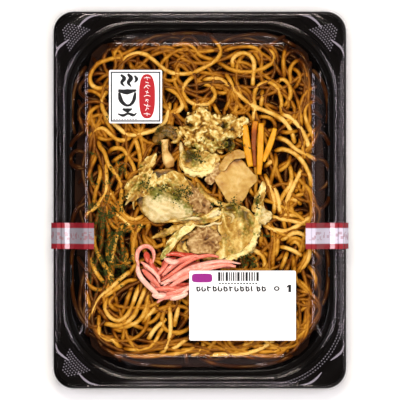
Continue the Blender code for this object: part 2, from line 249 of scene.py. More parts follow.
# %% [markdown]
# ## The tray and the lid
# Both are one heated plastic sheet pulled over a mould, so each is a wall of
# one thickness that follows a section all the way round. A circle of points is
# laid on the pack's outline and extruded from level to level; Solidify then
# gives the sheet its thickness. The lid's skirt, bead, wall and plate edge are
# points of the section, and a rounded edge is a few points close together.

# %% Outline and sections, in millimetres
HALF_X = 93.35
HALF_Y = 120.0
CORNER_STEPS = 26


def outline(inset, corner, bulge):
    """The pack's outline, set in from its edge, its corners rounded (1) or cut (0)."""
    half_x, half_y = HALF_X - inset, HALF_Y - inset
    quarter = []
    for i in range(CORNER_STEPS):
        t = i / (CORNER_STEPS - 1)
        across = bulge * math.cos(t * math.pi / 2) + (1 - bulge) * (1 - t)
        along = bulge * math.sin(t * math.pi / 2) + (1 - bulge) * t
        quarter.append((half_x - corner + corner * across, half_y - corner + corner * along))
    loop = list(quarter)
    loop += [(-x, y) for x, y in reversed(quarter)]
    loop += [(-x, -y) for x, y in quarter]
    loop += [(x, -y) for x, y in reversed(quarter)]
    return loop


def bead(inset, height, reach, start, stop, corner, count=6):
    """Section points round a bead; angles in degrees, 180 is the outer side."""
    turns = [math.radians(start + (stop - start) * k / count) for k in range(count + 1)]
    return [(inset + reach * math.cos(a), height + reach * math.sin(a), corner, 1.0) for a in turns]


SKIRT = [(0.0, 21.0, 13.0, 1.0), (0.5, 22.0, 12.8, 1.0), (2.0, 25.0, 12.2, 1.0), (2.3, 25.4, 12.1, 1.0), (2.5, 25.5, 12.0, 1.0),
         (2.65, 25.5, 12.0, 1.0), (2.95, 25.5, 27.0, 0.15), (3.1, 25.6, 27.0, 0.15), (3.6, 26.85, 28.0, 0.1), (3.8, 27.0, 28.1, 0.1),
         (3.95, 27.0, 28.2, 0.1), (5.45, 27.0, 45.5, 1.0), (5.6, 27.0, 45.5, 1.0)]
SKIRT += bead(7.5, 27.15, 1.75, 172, 4, 45.3, 10)
LID_SECTION = SKIRT + [
    (9.7, 27.15, 44.5, 1.0), (10.8, 27.15, 44.2, 1.0), (11.1, 27.5, 44.0, 1.0), (11.5, 28.3, 43.2, 0.97),
    (19.2, 42.0, 25.5, 0.53), (19.7, 42.9, 24.4, 0.5), (20.2, 43.8, 22.4, 0.42), (20.6, 44.3, 21.2, 0.33),
    (21.1, 44.7, 19.8, 0.24), (21.7, 44.95, 18.6, 0.18), (22.3, 45.0, 18.2, 0.15), (22.9, 44.9, 17.9, 0.15),
    (23.3, 44.7, 17.7, 0.15), (23.7, 44.3, 17.6, 0.15)]
TRAY_SECTION = [(i + 0.85, z - 0.9, c, b) for i, z, c, b in SKIRT] + [
    (11.9, 26.25, 43.9, 1.0), (12.4, 26.1, 43.7, 1.0), (12.6, 25.6, 43.5, 1.0), (12.9, 25.1, 43.2, 1.0), (21.1, 4.9, 34.5, 1.0), (21.4, 4.2, 34.2, 1.0), (22.2, 2.2, 33.2, 1.0),
    (24.4, 0.8, 32.0, 1.0), (28.0, 0.7, 30.0, 1.0), (29.4, 1.2, 29.4, 1.0), (30.4, 2.0, 29.0, 1.0)]


def formed_sheet(name, section, wall, finish, node):
    """Sweep a section round the pack, close it with a flat panel, thicken it."""
    bm = bmesh.new()
    loft(bm, [[(x * MM, y * MM, z * MM) for x, y in outline(i, c, b)] for i, z, c, b in section], start_cap=False)
    panel = max(bm.faces, key=lambda f: f.calc_area())
    bmesh.ops.inset_region(bm, faces=[panel], thickness=1.0 * MM)
    bmesh.ops.recalc_face_normals(bm, faces=bm.faces)
    if max(bm.faces, key=lambda f: f.calc_area()).normal.z < 0:
        bmesh.ops.reverse_faces(bm, faces=bm.faces)
    piece = make_piece(name, bm, [finish], [node], 28)
    sheet = piece.modifiers.new("sheet", "SOLIDIFY")
    sheet.thickness = wall * MM
    sheet.offset = -1.0
    sheet.use_even_offset = True
    return piece


# %% [markdown]
# ### Black tray plastic and clear lid plastic
# The tray is black polystyrene: nearly no colour of its own, so all that shows
# is its gloss. The lid is clear oriented polystyrene half a millimetre thick.
# It bends light too little to see, so it is plain see-through plus a mirror
# share that grows as the sheet turns away: faint when looked at square, strong
# on its slopes. Layer Weight gives the same share on both faces of the sheet,
# where a Fresnel node would take the inner face for the inside of solid glass.

# %% Tray and lid materials
tray_black, tree, out = new_material("black_polystyrene")
# gives the eye a deep black with soft-edged grey reflections
body = add(tree, "BsdfPrincipled", {"Base Color": paint("#0C0A09"), "Roughness": 0.12, "IOR": 1.5, "Specular IOR Level": 0.06})
tree.links.new(body.outputs[0], out.inputs["Surface"])

lid_clear, tree, out = new_material("clear_polystyrene_sheet")
# gives the eye a clean window with bright lines where it bends
window = add(tree, "BsdfTransparent", {"Color": paint("#FDFDFD")})
mirror = add(tree, "BsdfGlossy", {"Color": paint("#FFF0F4"), "Roughness": 0.05})
slope = add(tree, "LayerWeight", {"Blend": 0.5})
grazing = add(tree, "Math", {0: slope.outputs["Facing"], 1: 8.0}, operation="POWER")
share = add(tree, "Math", {0: grazing.outputs[0], 1: 0.5, 2: 0.018}, operation="MULTIPLY_ADD", use_clamp=True)
sheet_mix = add(tree, "MixShader", {0: share.outputs[0], 1: window.outputs[0], 2: mirror.outputs[0]})
tree.links.new(sheet_mix.outputs[0], out.inputs["Surface"])
lid_clear.surface_render_method = "BLENDED"

tray = formed_sheet("black_tray", TRAY_SECTION, 0.7, tray_black, "tray")
lid = formed_sheet("clear_lid", LID_SECTION, 0.5, lid_clear, "lid")

# %% [markdown]
# ## The bed of noodles
# Real noodles are laid in by the handful: each one drops onto those already
# there and bends over them. The same is done here. A height map holds the top
# of the heap on a fine grid; a strand is a line drawn from above, its height at
# each step is whatever it rests on, its stiffness keeps it from dipping into
# every gap, and then its own roundness is added to the map. Wandering strands
# fill the bed first, and the ones that lie on top are laid last, from listed points.

# %% Room inside the pack and the map of the heap, in millimetres
HEAP_TOP = 36.5
CORE_DEPTH = 9.5
CELL = 0.6
grid_x = np.arange(-84.0, 84.01, CELL)
grid_y = np.arange(-110.0, 110.01, CELL)
map_x, map_y = np.meshgrid(grid_x, grid_y, indexing="ij")


def wall_room(x, y):
    """Distance inwards from the foot of the lid's wall."""
    across = np.abs(x) - (HALF_X - 11.6 - 44.0)
    along = np.abs(y) - (HALF_Y - 11.6 - 44.0)
    return 44.0 - np.hypot(np.maximum(across, 0), np.maximum(along, 0)) - np.minimum(np.maximum(across, along), 0)


def bed_level(x, y):
    """Height that the heap's top strands reach."""
    return HEAP_TOP - 3.2 * (np.abs(x / 78.0) ** 4 + np.abs(y / 104.0) ** 4)


def core_level(x, y):
    """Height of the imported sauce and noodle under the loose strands."""
    return np.minimum(bed_level(x, y) - CORE_DEPTH, 21.5 + 0.9 * wall_room(x, y))


def highest_middle(x, y, radius):
    """How high the middle of a strand may lie: under the lid and under the toppings."""
    away = (x / 50.0) ** 2 + ((y + 3.0) / 66.0) ** 2
    proud = 0.2 + 1.5 * np.clip((away - 0.8) / 0.6, 0, 1)
    under_wall = 28.4 + (wall_room(x, y) - 0.7 - radius) * 1.75
    return np.minimum(bed_level(x, y) + proud - radius, under_wall)


heap = core_level(map_x, map_y)
print("map", heap.shape, "core", round(float(heap.max()), 1))


# %% Laying a strand on the map
def smooth_line(points, step, closed=False):
    """Even steps along a smooth curve through hand-set points."""
    points = np.array(points, float)
    if closed:
        ends = np.vstack([points[-1], points, points[0], points[1]])
    else:
        ends = np.vstack([2 * points[0] - points[1], points, 2 * points[-1] - points[-2]])
    t = np.linspace(0, 1, 16, endpoint=False)[:, None]
    spans = []
    for a, b, c, d in zip(ends, ends[1:], ends[2:], ends[3:]):
        spans.append(0.5 * (2 * b + (c - a) * t + (2 * a - 5 * b + 4 * c - d) * t ** 2 + (3 * b - a - 3 * c + d) * t ** 3))
    dense = np.vstack(spans + [ends[-2][None]])
    run = np.concatenate([[0], np.cumsum(np.linalg.norm(np.diff(dense, axis=0), axis=1))])
    count = max(2, int(round(run[-1] / step)) + 1)
    at = np.linspace(0, run[-1], count)
    return np.stack([np.interp(at, run, dense[:, k]) for k in range(dense.shape[1])], axis=1)


def print_of(radius):
    """Cells under a round strand, and how far its underside rises over each."""
    reach = int(radius / CELL) + 1
    cells = [(i, j, math.hypot(i, j) * CELL) for i in range(-reach, reach + 1) for j in range(-reach, reach + 1)]
    inside = [(i, j, math.sqrt(radius ** 2 - d ** 2)) for i, j, d in cells if d < radius]
    return np.array([c[:2] for c in inside]), np.array([c[2] for c in inside])


def cells_at(line, cells):
    i = np.clip(np.rint((line[:, 0] - grid_x[0]) / CELL).astype(int)[:, None] + cells[:, 0], 0, len(grid_x) - 1)
    j = np.clip(np.rint((line[:, 1] - grid_y[0]) / CELL).astype(int)[:, None] + cells[:, 1], 0, len(grid_y) - 1)
    return i, j


def lay(line, level, radius):
    """Add a strand's own roundness to the map."""
    cells, rise = print_of(radius)
    i, j = cells_at(line, cells)
    np.maximum.at(heap, (i, j), level[:, None] + rise)


def settle(line, radius, soft=0.82, slope=0.45, step=1.0):
    """Drop a strand on the heap and return the height of its middle at each point."""
    cells, rise = print_of(radius)
    level = np.empty(len(line))
    limit = highest_middle(line[:, 0], line[:, 1], radius)
    laid = 0
    for start in range(0, len(line), 14):
        stop = min(len(line), start + 14)
        i, j = cells_at(line[start:stop], cells)
        level[start:stop] = np.minimum((heap[i, j] + rise * soft).max(axis=1), limit[start:stop])
        keep = max(laid, stop - 5)
        lay(line[laid:keep], level[laid:keep], radius * 0.9)
        laid = keep
    for k in range(1, len(level)):
        level[k] = max(level[k], level[k - 1] - slope * step)
    for k in range(len(level) - 2, -1, -1):
        level[k] = max(level[k], level[k + 1] - slope * step)
    for _ in range(4):
        level[1:-1] = 0.25 * level[:-2] + 0.5 * level[1:-1] + 0.25 * level[2:]
    level = np.minimum(level, limit)
    lay(line, level, radius)
    return level


# %% [markdown]
# ### Wandering strands
# Each filling strand starts where the heap is lowest and walks one millimetre
# at a time with a curl that drifts, leaning towards the way the noodles lie in
# that part of the tray and turning aside before a wall. Its ends dive into the bed.

# %% Wandering strands
rng = np.random.default_rng(11)
strands = []


def lie_of(x, y):
    """Way the noodles lie (degrees), how strictly, and how tightly they curl (1/mm)."""
    if y > 42:
        return 20.0, 0.004, 0.085
    if x < -36 and y > -55:
        return 95.0, 0.035, 0.06
    if x > 34 and y > -52:
        return 118.0, 0.03, 0.075
    if y < -86:
        return 4.0, 0.035, 0.06
    if x < -2:
        return 62.0, 0.025, 0.08
    return 110.0, 0.015, 0.085


def wander(x, y, length):
    """One strand's path seen from above."""
    way, pull, curl = lie_of(x, y)
    heading = math.radians(way) + rng.normal(0, 0.5) + (math.pi if rng.random() < 0.5 else 0.0)
    bend = rng.normal(0, curl)
    path = [(x, y)]
    for _ in range(int(length)):
        way, pull, curl = lie_of(x, y)
        bend += rng.normal(0, curl * 0.22) - bend * 0.03
        heading += bend + pull * math.sin(2 * (math.radians(way) - heading))
        room = float(wall_room(x, y))
        if room < 15.0:
            inward = np.array([wall_room(x + 1, y) - wall_room(x - 1, y), wall_room(x, y + 1) - wall_room(x, y - 1)])
            turn = math.atan2(inward[1], inward[0])
            facing = math.cos(heading - turn)
            if facing < 0.25:
                heading += math.copysign(0.2 * (1 - room / 15.0) + 0.02, math.sin(turn - heading))
        x += math.cos(heading)
        y += math.sin(heading)
        if wall_room(x, y) < 5.0:
            break
        path.append((x, y))
    return path


FILL_COUNT = 262
for n in range(FILL_COUNT):
    tries = rng.uniform((-76, -102), (76, 102), (14, 2))
    tries = tries[wall_room(tries[:, 0], tries[:, 1]) > 9.0]
    i, j = cells_at(tries, np.array([(a, b) for a in (-5, 0, 5) for b in (-5, 0, 5)]))
    level = heap[i, j].mean(axis=1) - bed_level(tries[:, 0], tries[:, 1])
    x, y = tries[int(level.argmin())]
    path = wander(x, y, rng.uniform(60, 130))
    if len(path) < 12:
        continue
    line = smooth_line(path[::4] + [path[-1]], 1.0)
    radius = rng.uniform(1.32, 1.5)
    level = settle(line, radius)
    from_end = np.minimum(np.arange(len(line)), np.arange(len(line))[::-1])
    level = level - 3.0 * np.clip(1 - from_end / 8.0, 0, 1) ** 2
    # wandering strands lie underneath, so they get a lower tone range: painted shade over each strand's random tone
    strands.append((line, level, radius, rng.uniform(0.25, 0.68), 3))
print("wandering strands", len(strands), "heap now", round(float(np.median(heap)), 1))

# %% [markdown]
# ### The strands on top
# The topmost noodles are what the eye follows, so they are given as
# short lists of points in millimetres, region by region.

# %% Listed strands
TOP_STRANDS = """
-50,84 -47,89 -43,91.5 -38,92.5 -33,91 -28,87 -24,83.5 -19,80.5 -12,79.3 -5,80 0,82 5,84.5 9.5,87.5 12.5,91 13,94.5 11.5,98 8.5,101 6,104 *
-47,89.5 -55,89 -60,87.5 -64,86 -68,81 -69.3,76 -67.5,72 -63,70.2 -56.5,73 *
-47,100 -51,96 -54,91.5 -50,90
-37,94 -35,98 -32,101 -28,103 -18,104
-31,92 -27,95 -22,96.3 -17,95 -13.5,91.5
-18,96.5 -13,98 -8,98.3 -4,96 0,91 5,89 10,88
-5,92.5 -10,91 -15,86.5 -16.5,82
-44.5,88 -43.5,84.5 -41,81
-39,90 -39.5,85 -41,82
-35,88 -38,82
11,87 15,84.5 20,82 26,80.7 33,80.8 38,82 43,84.5 46,87 46.3,91 44.5,93.5 41,96 *
21,83 20.5,87 22,90.5 27,92.5 31.5,91 34,87 34,82 33.5,77 33.2,70 *
14,93 20,95.5 28,96.5 34,96 38,93 39,88 38.5,82 38.5,75
33,94 36.5,90 38,85
41,96 46,98.5 50,101.5 53,103
54.5,97 53,92 52.5,86 53,80 53,76
64,88.5 60,87 57.5,84 56.5,80 57,75 56.5,70
58,83 61.5,81 63,77.5 61.5,73 59,70
63,89 66,84 67.5,78 67.5,73
"""
UPPER_STRANDS = """
31.5,47 33.5,51 34.5,58 34,65 36,71 41,74 45,73.5 49,70 51,64 51.3,58 51.5,54 *
48,73 51,76 54,75 56.5,71 57,66 55,61.5 52.5,58.5 *
57,72 60,66 62,61 63.5,54 64,48
16,80 19,75 22,69 27,64 32,60 36,58 44,55 50,52 54,48.5 58,42 59.5,36 *
21,79 23,74 25.5,68 27,65
51,54 55,53 60,49 64,44 67,38 69.5,30 *
-3,81 6,79.5 12,78.5 16,77
2,75.5 8,76.5 13,76 17,73 20.5,70 *
-2,79 -7,75.5 -10.3,70.5 -9.5,65 -5,61 0,60 5,60.5 9,64 9.5,67.5 6,72 0,73.5 *
9,69 12,67.5 16,67.5 18,70
8.5,61 10,57.5 12,54 15,51
19,67 18,61 15,55
25,64 23,58 19,53
39.5,69 39,64 38.5,59 *
39,61 44,59.5 49,57
35,51.5 40,52.5 45,51 47.5,47 47,44
40,42.7 45,44 48,44
73,71.5 68,69 65,65 63.5,60 63.5,53 64,46
73,63 68,60 66,56 67,50 70,43 72,36
-23,71.5 -17,68.5 -13,65 -11,61 -11.5,58 -15,55 -20,53 *
-17,79 -15.5,73 -12,66 -9.5,60 -8,56
"""
LEFT_STRANDS = """
-73,67 -70,68.7 -66,68 -62,65 -59,62
-61,59 -65,58.5 -69,55 -71,48
-66,52 -67.5,47 -66,44
-65.5,42 -63,39 -58,38 -53,39.5
-49,48 -45,44.5 -43,42
-57,69.5 -61,65 -61.5,60 -60,55 -56,50 -50,44.5 -45,41 -38,41.5 -30,43.5 -25,46 -21.5,50 -20,55 -19,61 *
-69,35.5 -68.5,40.5 -65,44.3 -60.5,44.8 -56.5,41.5 -52,38 -47.5,37.6 -43,40 *
-35,39 -34.5,34 -35,28
-31,38 -31.5,32 -33,28
-41.5,40 -39.5,35 -38,29 -37.5,25 -38,18 *
-65,31 -66,26 -68,21 -69.5,16 -71,12
-63.5,22 -62.5,17 -63.5,12 -65,7 -66,2 -67,-3
-55,24 -50,27.5 -46.5,29
-48.5,22 -46.5,17 -45.5,13
-58,29 -55.5,31.8 -51,32.8 -47.5,31 -45,27 -42.5,22.5 -41,18 -41,15 *
-60.5,24 -59,18 -58.7,12 -59,6 -61,2 -64,-3 -68,-6.5 -71,-9 -72,-12 *
-64,37 -62.5,33 -60,30 -58.5,25 -57.5,22 -54.5,18.5 -51.5,14 -49.8,10 -49.3,2 -49.8,-4 -47,-9.5 -42,-12 -37,-11 -34.5,-9 *
-60,2.5 -56,3.8 -51.8,4 *
-59.5,1 -58.8,-5 -57.5,-10 -56.5,-15
-54.5,-7.5 -50,-11 -45,-15 -41,-18.5 *
"""
LOWER_LEFT_STRANDS = """
-37,-20.5 -33,-24 -29,-28 -26,-31
-29.5,-12.5 -32.5,-15.5 -33.5,-19
-47,-30 -46,-35 -47.5,-39 -48.5,-43
-34.5,-12 -37,-15.5 -39.5,-20 -41.5,-26 -42,-32 -41.5,-37 -40.5,-40 *
-48.5,-14 -50,-19 -53,-25 -54.3,-32 -55.5,-38 -56.5,-43 *
-71.5,-44 -71,-50 -68.5,-54.5 -64,-56.5 -60,-55.5 -57,-53.5
-70.5,-34 -68,-39 -66,-44 -63.5,-48 -60.5,-51.5 -57.5,-53.5 *
-66,-20 -66.5,-27 -64.5,-33 -62,-38 -59.5,-42 -56.5,-45.5 -54.5,-51 *
-71.5,-57 -70,-64 -68,-69
-64,-66 -63,-70 -59,-73
-43,-44.5 -47.5,-47.5 -51.5,-51 -55.5,-55 -60,-58.5 -63.5,-62.5 -66,-67 -68.5,-73 -70,-76 *
-39,-50.3 -45,-50.8 -50,-54 -55,-57.5 -59,-60 -63,-63 *
-50,-59 -54.5,-61 -57,-64.5 -54,-68.5 -50,-69.5
-43,-56 -45,-61 -47,-67 -49.5,-72.5
-37.5,-52.5 -40,-59 -42.5,-66 -46,-72.5 -51,-76 -56,-74 -59,-70 -59.5,-65 -57.5,-61 *
-47,-82.5 -51,-82 -55,-80.5
-34,-54 -36,-60 -38.5,-66 -41,-72 -46,-77 -52,-79 -58,-78 -61.5,-77.5 *
-32,-56 -33,-62 -34,-68 -36,-73 -40,-77 -46,-79.5 -52,-80.5 *
-31,-60 -32,-65 -33.5,-71 -37,-76
-63.5,-72 -63.5,-80 -63,-85 -59,-88 -55,-88 -51,-92 -49,-94.5 *
-26,-65 -29,-69 -33,-73 -35.5,-77 *
-24,-68 -27,-74 -31,-77 -36,-77.5
-22,-79 -25,-83 -27.5,-88 -31,-92 -36,-94 -42,-94 -48,-93.5
-21.5,-75 -25,-78 -29,-82 -33,-88.5 *
-19,-62 -19,-68 -18.5,-75 -18.5,-82 -19.5,-88 -22,-94 -25,-97 *
-13.5,-64 -14,-70 -15.5,-76 -16,-79.5 *
-13,-61 -9,-64 -6,-67.5
"""
BOTTOM_STRANDS = """
-7,-81 -11,-83 -15,-84 -17,-82.5
-6.5,-86 -11,-89.5 -15,-92.5 -20,-94.5
-1,-90 -6,-94 -14,-96.5 -22,-97.5 -30,-98.5 -40,-98.5 -47,-97.5
8,-88 7.5,-92 4,-96 -1,-98
2.5,-89 1,-93.5 -2,-96.5 -5,-98 *
23,-93 30,-90.5 36,-88.5
5,-97.5 15,-97 25,-97 33,-95.5 39,-93 44,-90 47,-88 *
36,-96 42,-95.5 48,-95 50,-94 47,-93 41,-93.5
45,-91 50,-92 52,-95.5 50,-98 44,-98.5 36,-98
52,-89 54,-92 55.5,-96 *
61,-50 64,-52 68,-56 71,-61
68,-41 71,-45 73,-50 73,-57
"""
RIGHT_STRANDS = """
38,-18 38.5,-23 38,-29
25.5,-36 27,-41
66,-33 66,-37 63,-40.5 61,-42
45.5,-20 47,-25 47,-30 46,-37 46,-44
49,-20 49,-27 48.5,-32 47,-36
53,-32 51,-36 48,-38
58.5,-35 59,-40 58.5,-44
57,-28 59.5,-26 62.5,-28 63,-31
55,-27 57.5,-24.5 61,-24 64.5,-26 65.5,-29.5 64,-32.5
55,-33 53.5,-37 52,-41 50.5,-44 *
50,-29.5 54,-30 59,-32 64,-35 *
50,-25 54,-24 57,-21.5 61,-20.5 65,-22 68,-26 69,-31 68.5,-36 66,-41 62,-45 *
31,-30.5 35,-32 39,-35 40.8,-39 40,-44 *
66,50 68,46 71,40 73,36
50,43 55,42.5 59,43 62,43.5
60.5,34 63,35.5 63,40
57,28 55.5,23 52,19.5 48.5,18
47.5,29 48,24 46.5,18 45,13 44.5,10
62.5,12 62,8 60,5
64,15 65.5,11 65,6 62,2
56,0.5 60,0 63.5,-2.5 *
64.5,20 62,15 59.5,10 57,5 55,0 53.5,-5 *
56.5,22 57.5,17 57.5,12 56,8 53,4 51,0 51,-3 *
44.5,10 47.5,6 49.5,0 50,-5 51,-9 *
41,16 43,11 45,6 46.5,1 47,-4 46.5,-8 *
41,21 44.5,24 47,26 *
49,39.5 54,37.5 58,34 61,31.5 66,29 71,26.5 73,25 *
47.5,31 52,32 58,30 63,26 67,20 69.3,14 70,8 *
50.5,-5 51.5,-8.5 56,-9.5 61,-9.5 64,-8 *
43,-8 46,-10.5 52,-12 58,-13 64,-14.5 69,-15.5 *
39,-15 43,-17 48,-19 54,-19.5 60,-17 65,-14 69,-11 73,-8 *
"""

# strands pressed against the wall, seen dark through it
WALL_STRANDS = """
-72,44 -77,40 -81,35 -82.4,29 -81,23 -77,20 -72,20
-73,30 -78,31 -81.5,27 -80,22 -75,21
-72,84 -76,78 -79,70 -80.5,60 -80.6,50 -79,42
-70,-22 -76,-26 -80,-32 -81,-42 -80.6,-54 -79,-64 -75,-74 -70,-80
-72,-2 -77,-5 -80,-12 -80.6,-20 -78,-28
73,44 78,41 81.6,35 83,27 82.6,18 80,10 75,6
74,26 79,24 82,17 82.6,8 81,0 77,-5 72,-7
72,-22 77,-26 80.4,-34 81,-46 80,-58 77,-66
71,82 76,76 79.4,68 81,58 80.6,48
-40,98 -30,102 -18,104.4 -4,105 8,104
12,99 24,103 38,104.4 50,102 60,97
-62,-92 -52,-98 -40,-102.6 -26,-104.6 -12,-105
0,-100 14,-104 30,-105 46,-102.6 58,-98
"""
for region in (WALL_STRANDS, TOP_STRANDS, UPPER_STRANDS, LEFT_STRANDS, LOWER_LEFT_STRANDS, BOTTOM_STRANDS, RIGHT_STRANDS):
    for text in region.strip().splitlines():
        topmost = text.endswith("*")
        path = [tuple(map(float, pair.split(","))) for pair in text.rstrip(" *").split()]
        line = smooth_line(path, 1.0)
        radius = (1.5 if topmost else 1.36) + rng.uniform(-0.05, 0.05)
        # strands on top get a paler tone range than those under them: painted shade on the lower ones, over each
        # strand's random tone
        tone = rng.uniform(0.78, 0.98) if topmost else rng.uniform(0.5, 0.78)
        level = settle(line, radius)
        from_end = np.minimum(np.arange(len(line)), np.arange(len(line))[::-1])
        level = level - 2.2 * np.clip(1 - from_end / 6.0, 0, 1) ** 2
        strands.append((line, level, radius, tone, 2))
proud = heap - bed_level(map_x, map_y)
print("strands", len(strands), "heap above its level", [round(float(np.percentile(proud, p)), 1) for p in (5, 25, 50, 75, 95)])


# %% [markdown]
# ### From lines to noodles
# A curve with a round bevel makes an even tube along each line, so the strands
# become splines of a few curves, which are turned into one mesh. Every point
# keeps two numbers for the material: the strand's tone, and how deep it lies
# under the noodles round it. Both carry painted shade: strands under others,
# strands by the lid's wall and the flanks of each strand are painted darker.

# %% Spread of the map and a reader for it
def spread(field, reach, pick=np.maximum):
    """Each cell takes the highest (or lowest) value within reach cells."""
    wide = field.copy()
    for axis in (0, 1):
        source = wide.copy()
        for shift in range(1, reach + 1):
            wide = pick(wide, np.roll(source, shift, axis))
            wide = pick(wide, np.roll(source, -shift, axis))
    return wide


def blur(field, reach):
    """Average over a square of cells, twice."""
    for _ in range(2):
        for axis in (0, 1):
            field = sum(np.roll(field, shift, axis) for shift in range(-reach, reach + 1)) / (2 * reach + 1)
    return field


def read_map(field, x, y):
    """Value of a map between its cells."""
    u = np.clip((np.asarray(x, float) - grid_x[0]) / CELL, 0, len(grid_x) - 1.001)
    v = np.clip((np.asarray(y, float) - grid_y[0]) / CELL, 0, len(grid_y) - 1.001)
    i, j = u.astype(int), v.astype(int)
    s, t = u - i, v - j
    low = field[i, j] * (1 - s) + field[i + 1, j] * s
    return low * (1 - t) + (field[i, j + 1] * (1 - s) + field[i + 1, j + 1] * s) * t


crown = blur(spread(heap, 7), 4)

# %% Splines to one mesh
noodle_bm = bmesh.new()
tones, point_tones = [], []
for index, (line, level, radius, tone, step) in enumerate(strands):
    keep = np.unique(np.append(np.arange(0, len(line), step), len(line) - 1))
    curve = bpy.data.curves.new("strand", "CURVE")
    curve.dimensions = "3D"
    curve.bevel_depth = radius * MM
    curve.bevel_resolution = 2 if step < 3 else 1
    curve.use_fill_caps = True
    spline = curve.splines.new("POLY")
    spline.points.add(len(keep) - 1)
    swell = 1.0 + 0.06 * np.sin(np.arange(len(keep)) * 0.7 + index)
    swell[0] = swell[-1] = 0.8
    for point, (x, y), z, fat in zip(spline.points, line[keep], level[keep], swell):
        point.co = (x * MM, y * MM, z * MM, 1.0)
        point.radius = fat
    maker = bpy.data.objects.new("strand", curve)
    tube = bpy.data.meshes.new_from_object(maker)
    noodle_bm.from_mesh(tube)
    tones += [tone] * len(tube.vertices)
    bpy.data.meshes.remove(tube)
    bpy.data.objects.remove(maker)
    bpy.data.curves.remove(curve)
print("strand points", len(tones))

# %% [markdown]
# ### Sauced noodle
# Steamed wheat noodle fried in brown sauce: the flour gives a warm ochre, the
# sauce stains it, and the oil on it gives small sharp highlights. Streaks a few
# millimetres long break it up. The run from gold on top to red-brown lower down
# is painted shade, read from the depth number.

# %% Noodle material
noodle_finish, tree, out = new_material("sauced_wheat_noodle")
# gives the eye golden strands on top of red-brown ones, the red-brown being painted shade by depth, each with an oily
# glint
tone = add(tree, "Attribute", attribute_name="tone")
depth = add(tree, "Attribute", attribute_name="depth")
place = add(tree, "TexCoord")
stain = add(tree, "TexNoise", {"Vector": place.outputs["Object"], "Scale": 1.0 / (9.0 * MM), "Detail": 3.0})
fleck = add(tree, "TexNoise", {"Vector": place.outputs["Object"], "Scale": 1.0 / (1.6 * MM), "Detail": 2.0})
stain_shift = add(tree, "Math", {0: stain.outputs["Fac"], 1: -0.5}, operation="ADD")
fleck_shift = add(tree, "Math", {0: fleck.outputs["Fac"], 1: -0.5}, operation="ADD")
toned = add(tree, "Math", {0: stain_shift.outputs[0], 1: 0.9, 2: tone.outputs["Fac"]}, operation="MULTIPLY_ADD")
toned = add(tree, "Math", {0: fleck_shift.outputs[0], 1: 0.35, 2: toned.outputs[0]}, operation="MULTIPLY_ADD")
# depth darkens the tone: painted shade of buried strands and of each strand's flanks
toned = add(tree, "Math", {0: depth.outputs["Fac"], 1: -0.85, 2: toned.outputs[0]}, operation="MULTIPLY_ADD",
            use_clamp=True)
colour = add(tree, "ValToRGB", {"Fac": toned.outputs[0]},
             stops=[(0.0, "#301203"), (0.25, "#5E2C04"), (0.5, "#985D0C"), (0.75, "#C68C2A"), (1.0, "#EFC46A")])
ripple = add(tree, "Bump", {"Height": fleck.outputs["Fac"], "Strength": 0.25, "Distance": 0.4 * MM})
body = add(tree, "BsdfPrincipled", {
    "Base Color": colour.outputs["Color"], "Roughness": 0.34, "IOR": 1.45, "Normal": ripple.outputs[0],
    "Specular Tint": paint("#FFC878")})
tree.links.new(body.outputs[0], out.inputs["Surface"])

core_finish, tree, out = new_material("noodle_bed_painted_shade")
# gives the eye the near-black between strands: painted shade of the noodle mass below, with a little dark sauce
body = add(tree, "BsdfPrincipled", {"Base Color": paint("#221006"), "Roughness": 0.85, "IOR": 1.45,
                                    "Specular IOR Level": 0.1})
tree.links.new(body.outputs[0], out.inputs["Surface"])

# %% Noodle piece and its core
bmesh.ops.recalc_face_normals(noodle_bm, faces=noodle_bm.faces)
noodles = make_piece("noodle_strands", noodle_bm, [noodle_finish], ["noodles"])
places = np.empty(len(noodles.data.vertices) * 3)
noodles.data.vertices.foreach_get("co", places)
places = places.reshape(-1, 3) / MM
# how far each point lies under the crown of the heap, used for the painted shade in the material
deep = np.clip((read_map(crown, places[:, 0], places[:, 1]) - places[:, 2] - 0.5) / 5.0, 0, 1)
shade = np.array(tones)
px, py = places[:, 0], places[:, 1]
# strands near the foot of the lid's wall get a darker tone: painted shade under the wall
shade = np.maximum(shade - 0.55 * np.clip((11.0 - wall_room(px, py)) / 4.0, 0, 1), 0.08)
# darker to the left and at the top, paler at the bottom and to the right
shade -= 0.07 * np.clip((-26 - px) / 14.0, 0, 1) * np.clip((62 - py) / 20.0, 0, 1)
shade += 0.02 * np.clip((px - 36) / 14.0, 0, 1) - 0.14 * np.clip((py - 56) / 8.0, 0, 1) + 0.08 * np.clip((-66 - py) / 14.0, 0, 1)
for name, values in (("tone", shade), ("depth", deep)):
    noodles.data.attributes.new(name, "FLOAT", "POINT").data.foreach_set("value", values.astype(np.float32))
print("noodle triangles", sum(len(p.vertices) - 2 for p in noodles.data.polygons))

core_bm = bmesh.new()
bmesh.ops.create_grid(core_bm, x_segments=60, y_segments=80, size=1.0)
for vert in core_bm.verts:
    u, v = vert.co.x, vert.co.y
    x = u * math.sqrt(1 - v * v * 0.28) * 79.0
    y = v * math.sqrt(1 - u * u * 0.16) * 105.5
    vert.co = (x * MM, y * MM, (float(core_level(x, y)) - 1.2) * MM)
rim = [e for e in core_bm.edges if e.is_boundary]
made = bmesh.ops.extrude_edge_only(core_bm, edges=rim)["geom"]
for vert in (v for v in made if isinstance(v, bmesh.types.BMVert)):
    vert.co = (vert.co.x * 0.86, vert.co.y * 0.89, 3.2 * MM)
bmesh.ops.contextual_create(core_bm, geom=[e for e in made if isinstance(e, bmesh.types.BMEdge) and e.is_boundary])
bmesh.ops.recalc_face_normals(core_bm, faces=core_bm.faces)
core = make_piece("sauce_bed", core_bm, [core_finish], ["noodles"], 40)

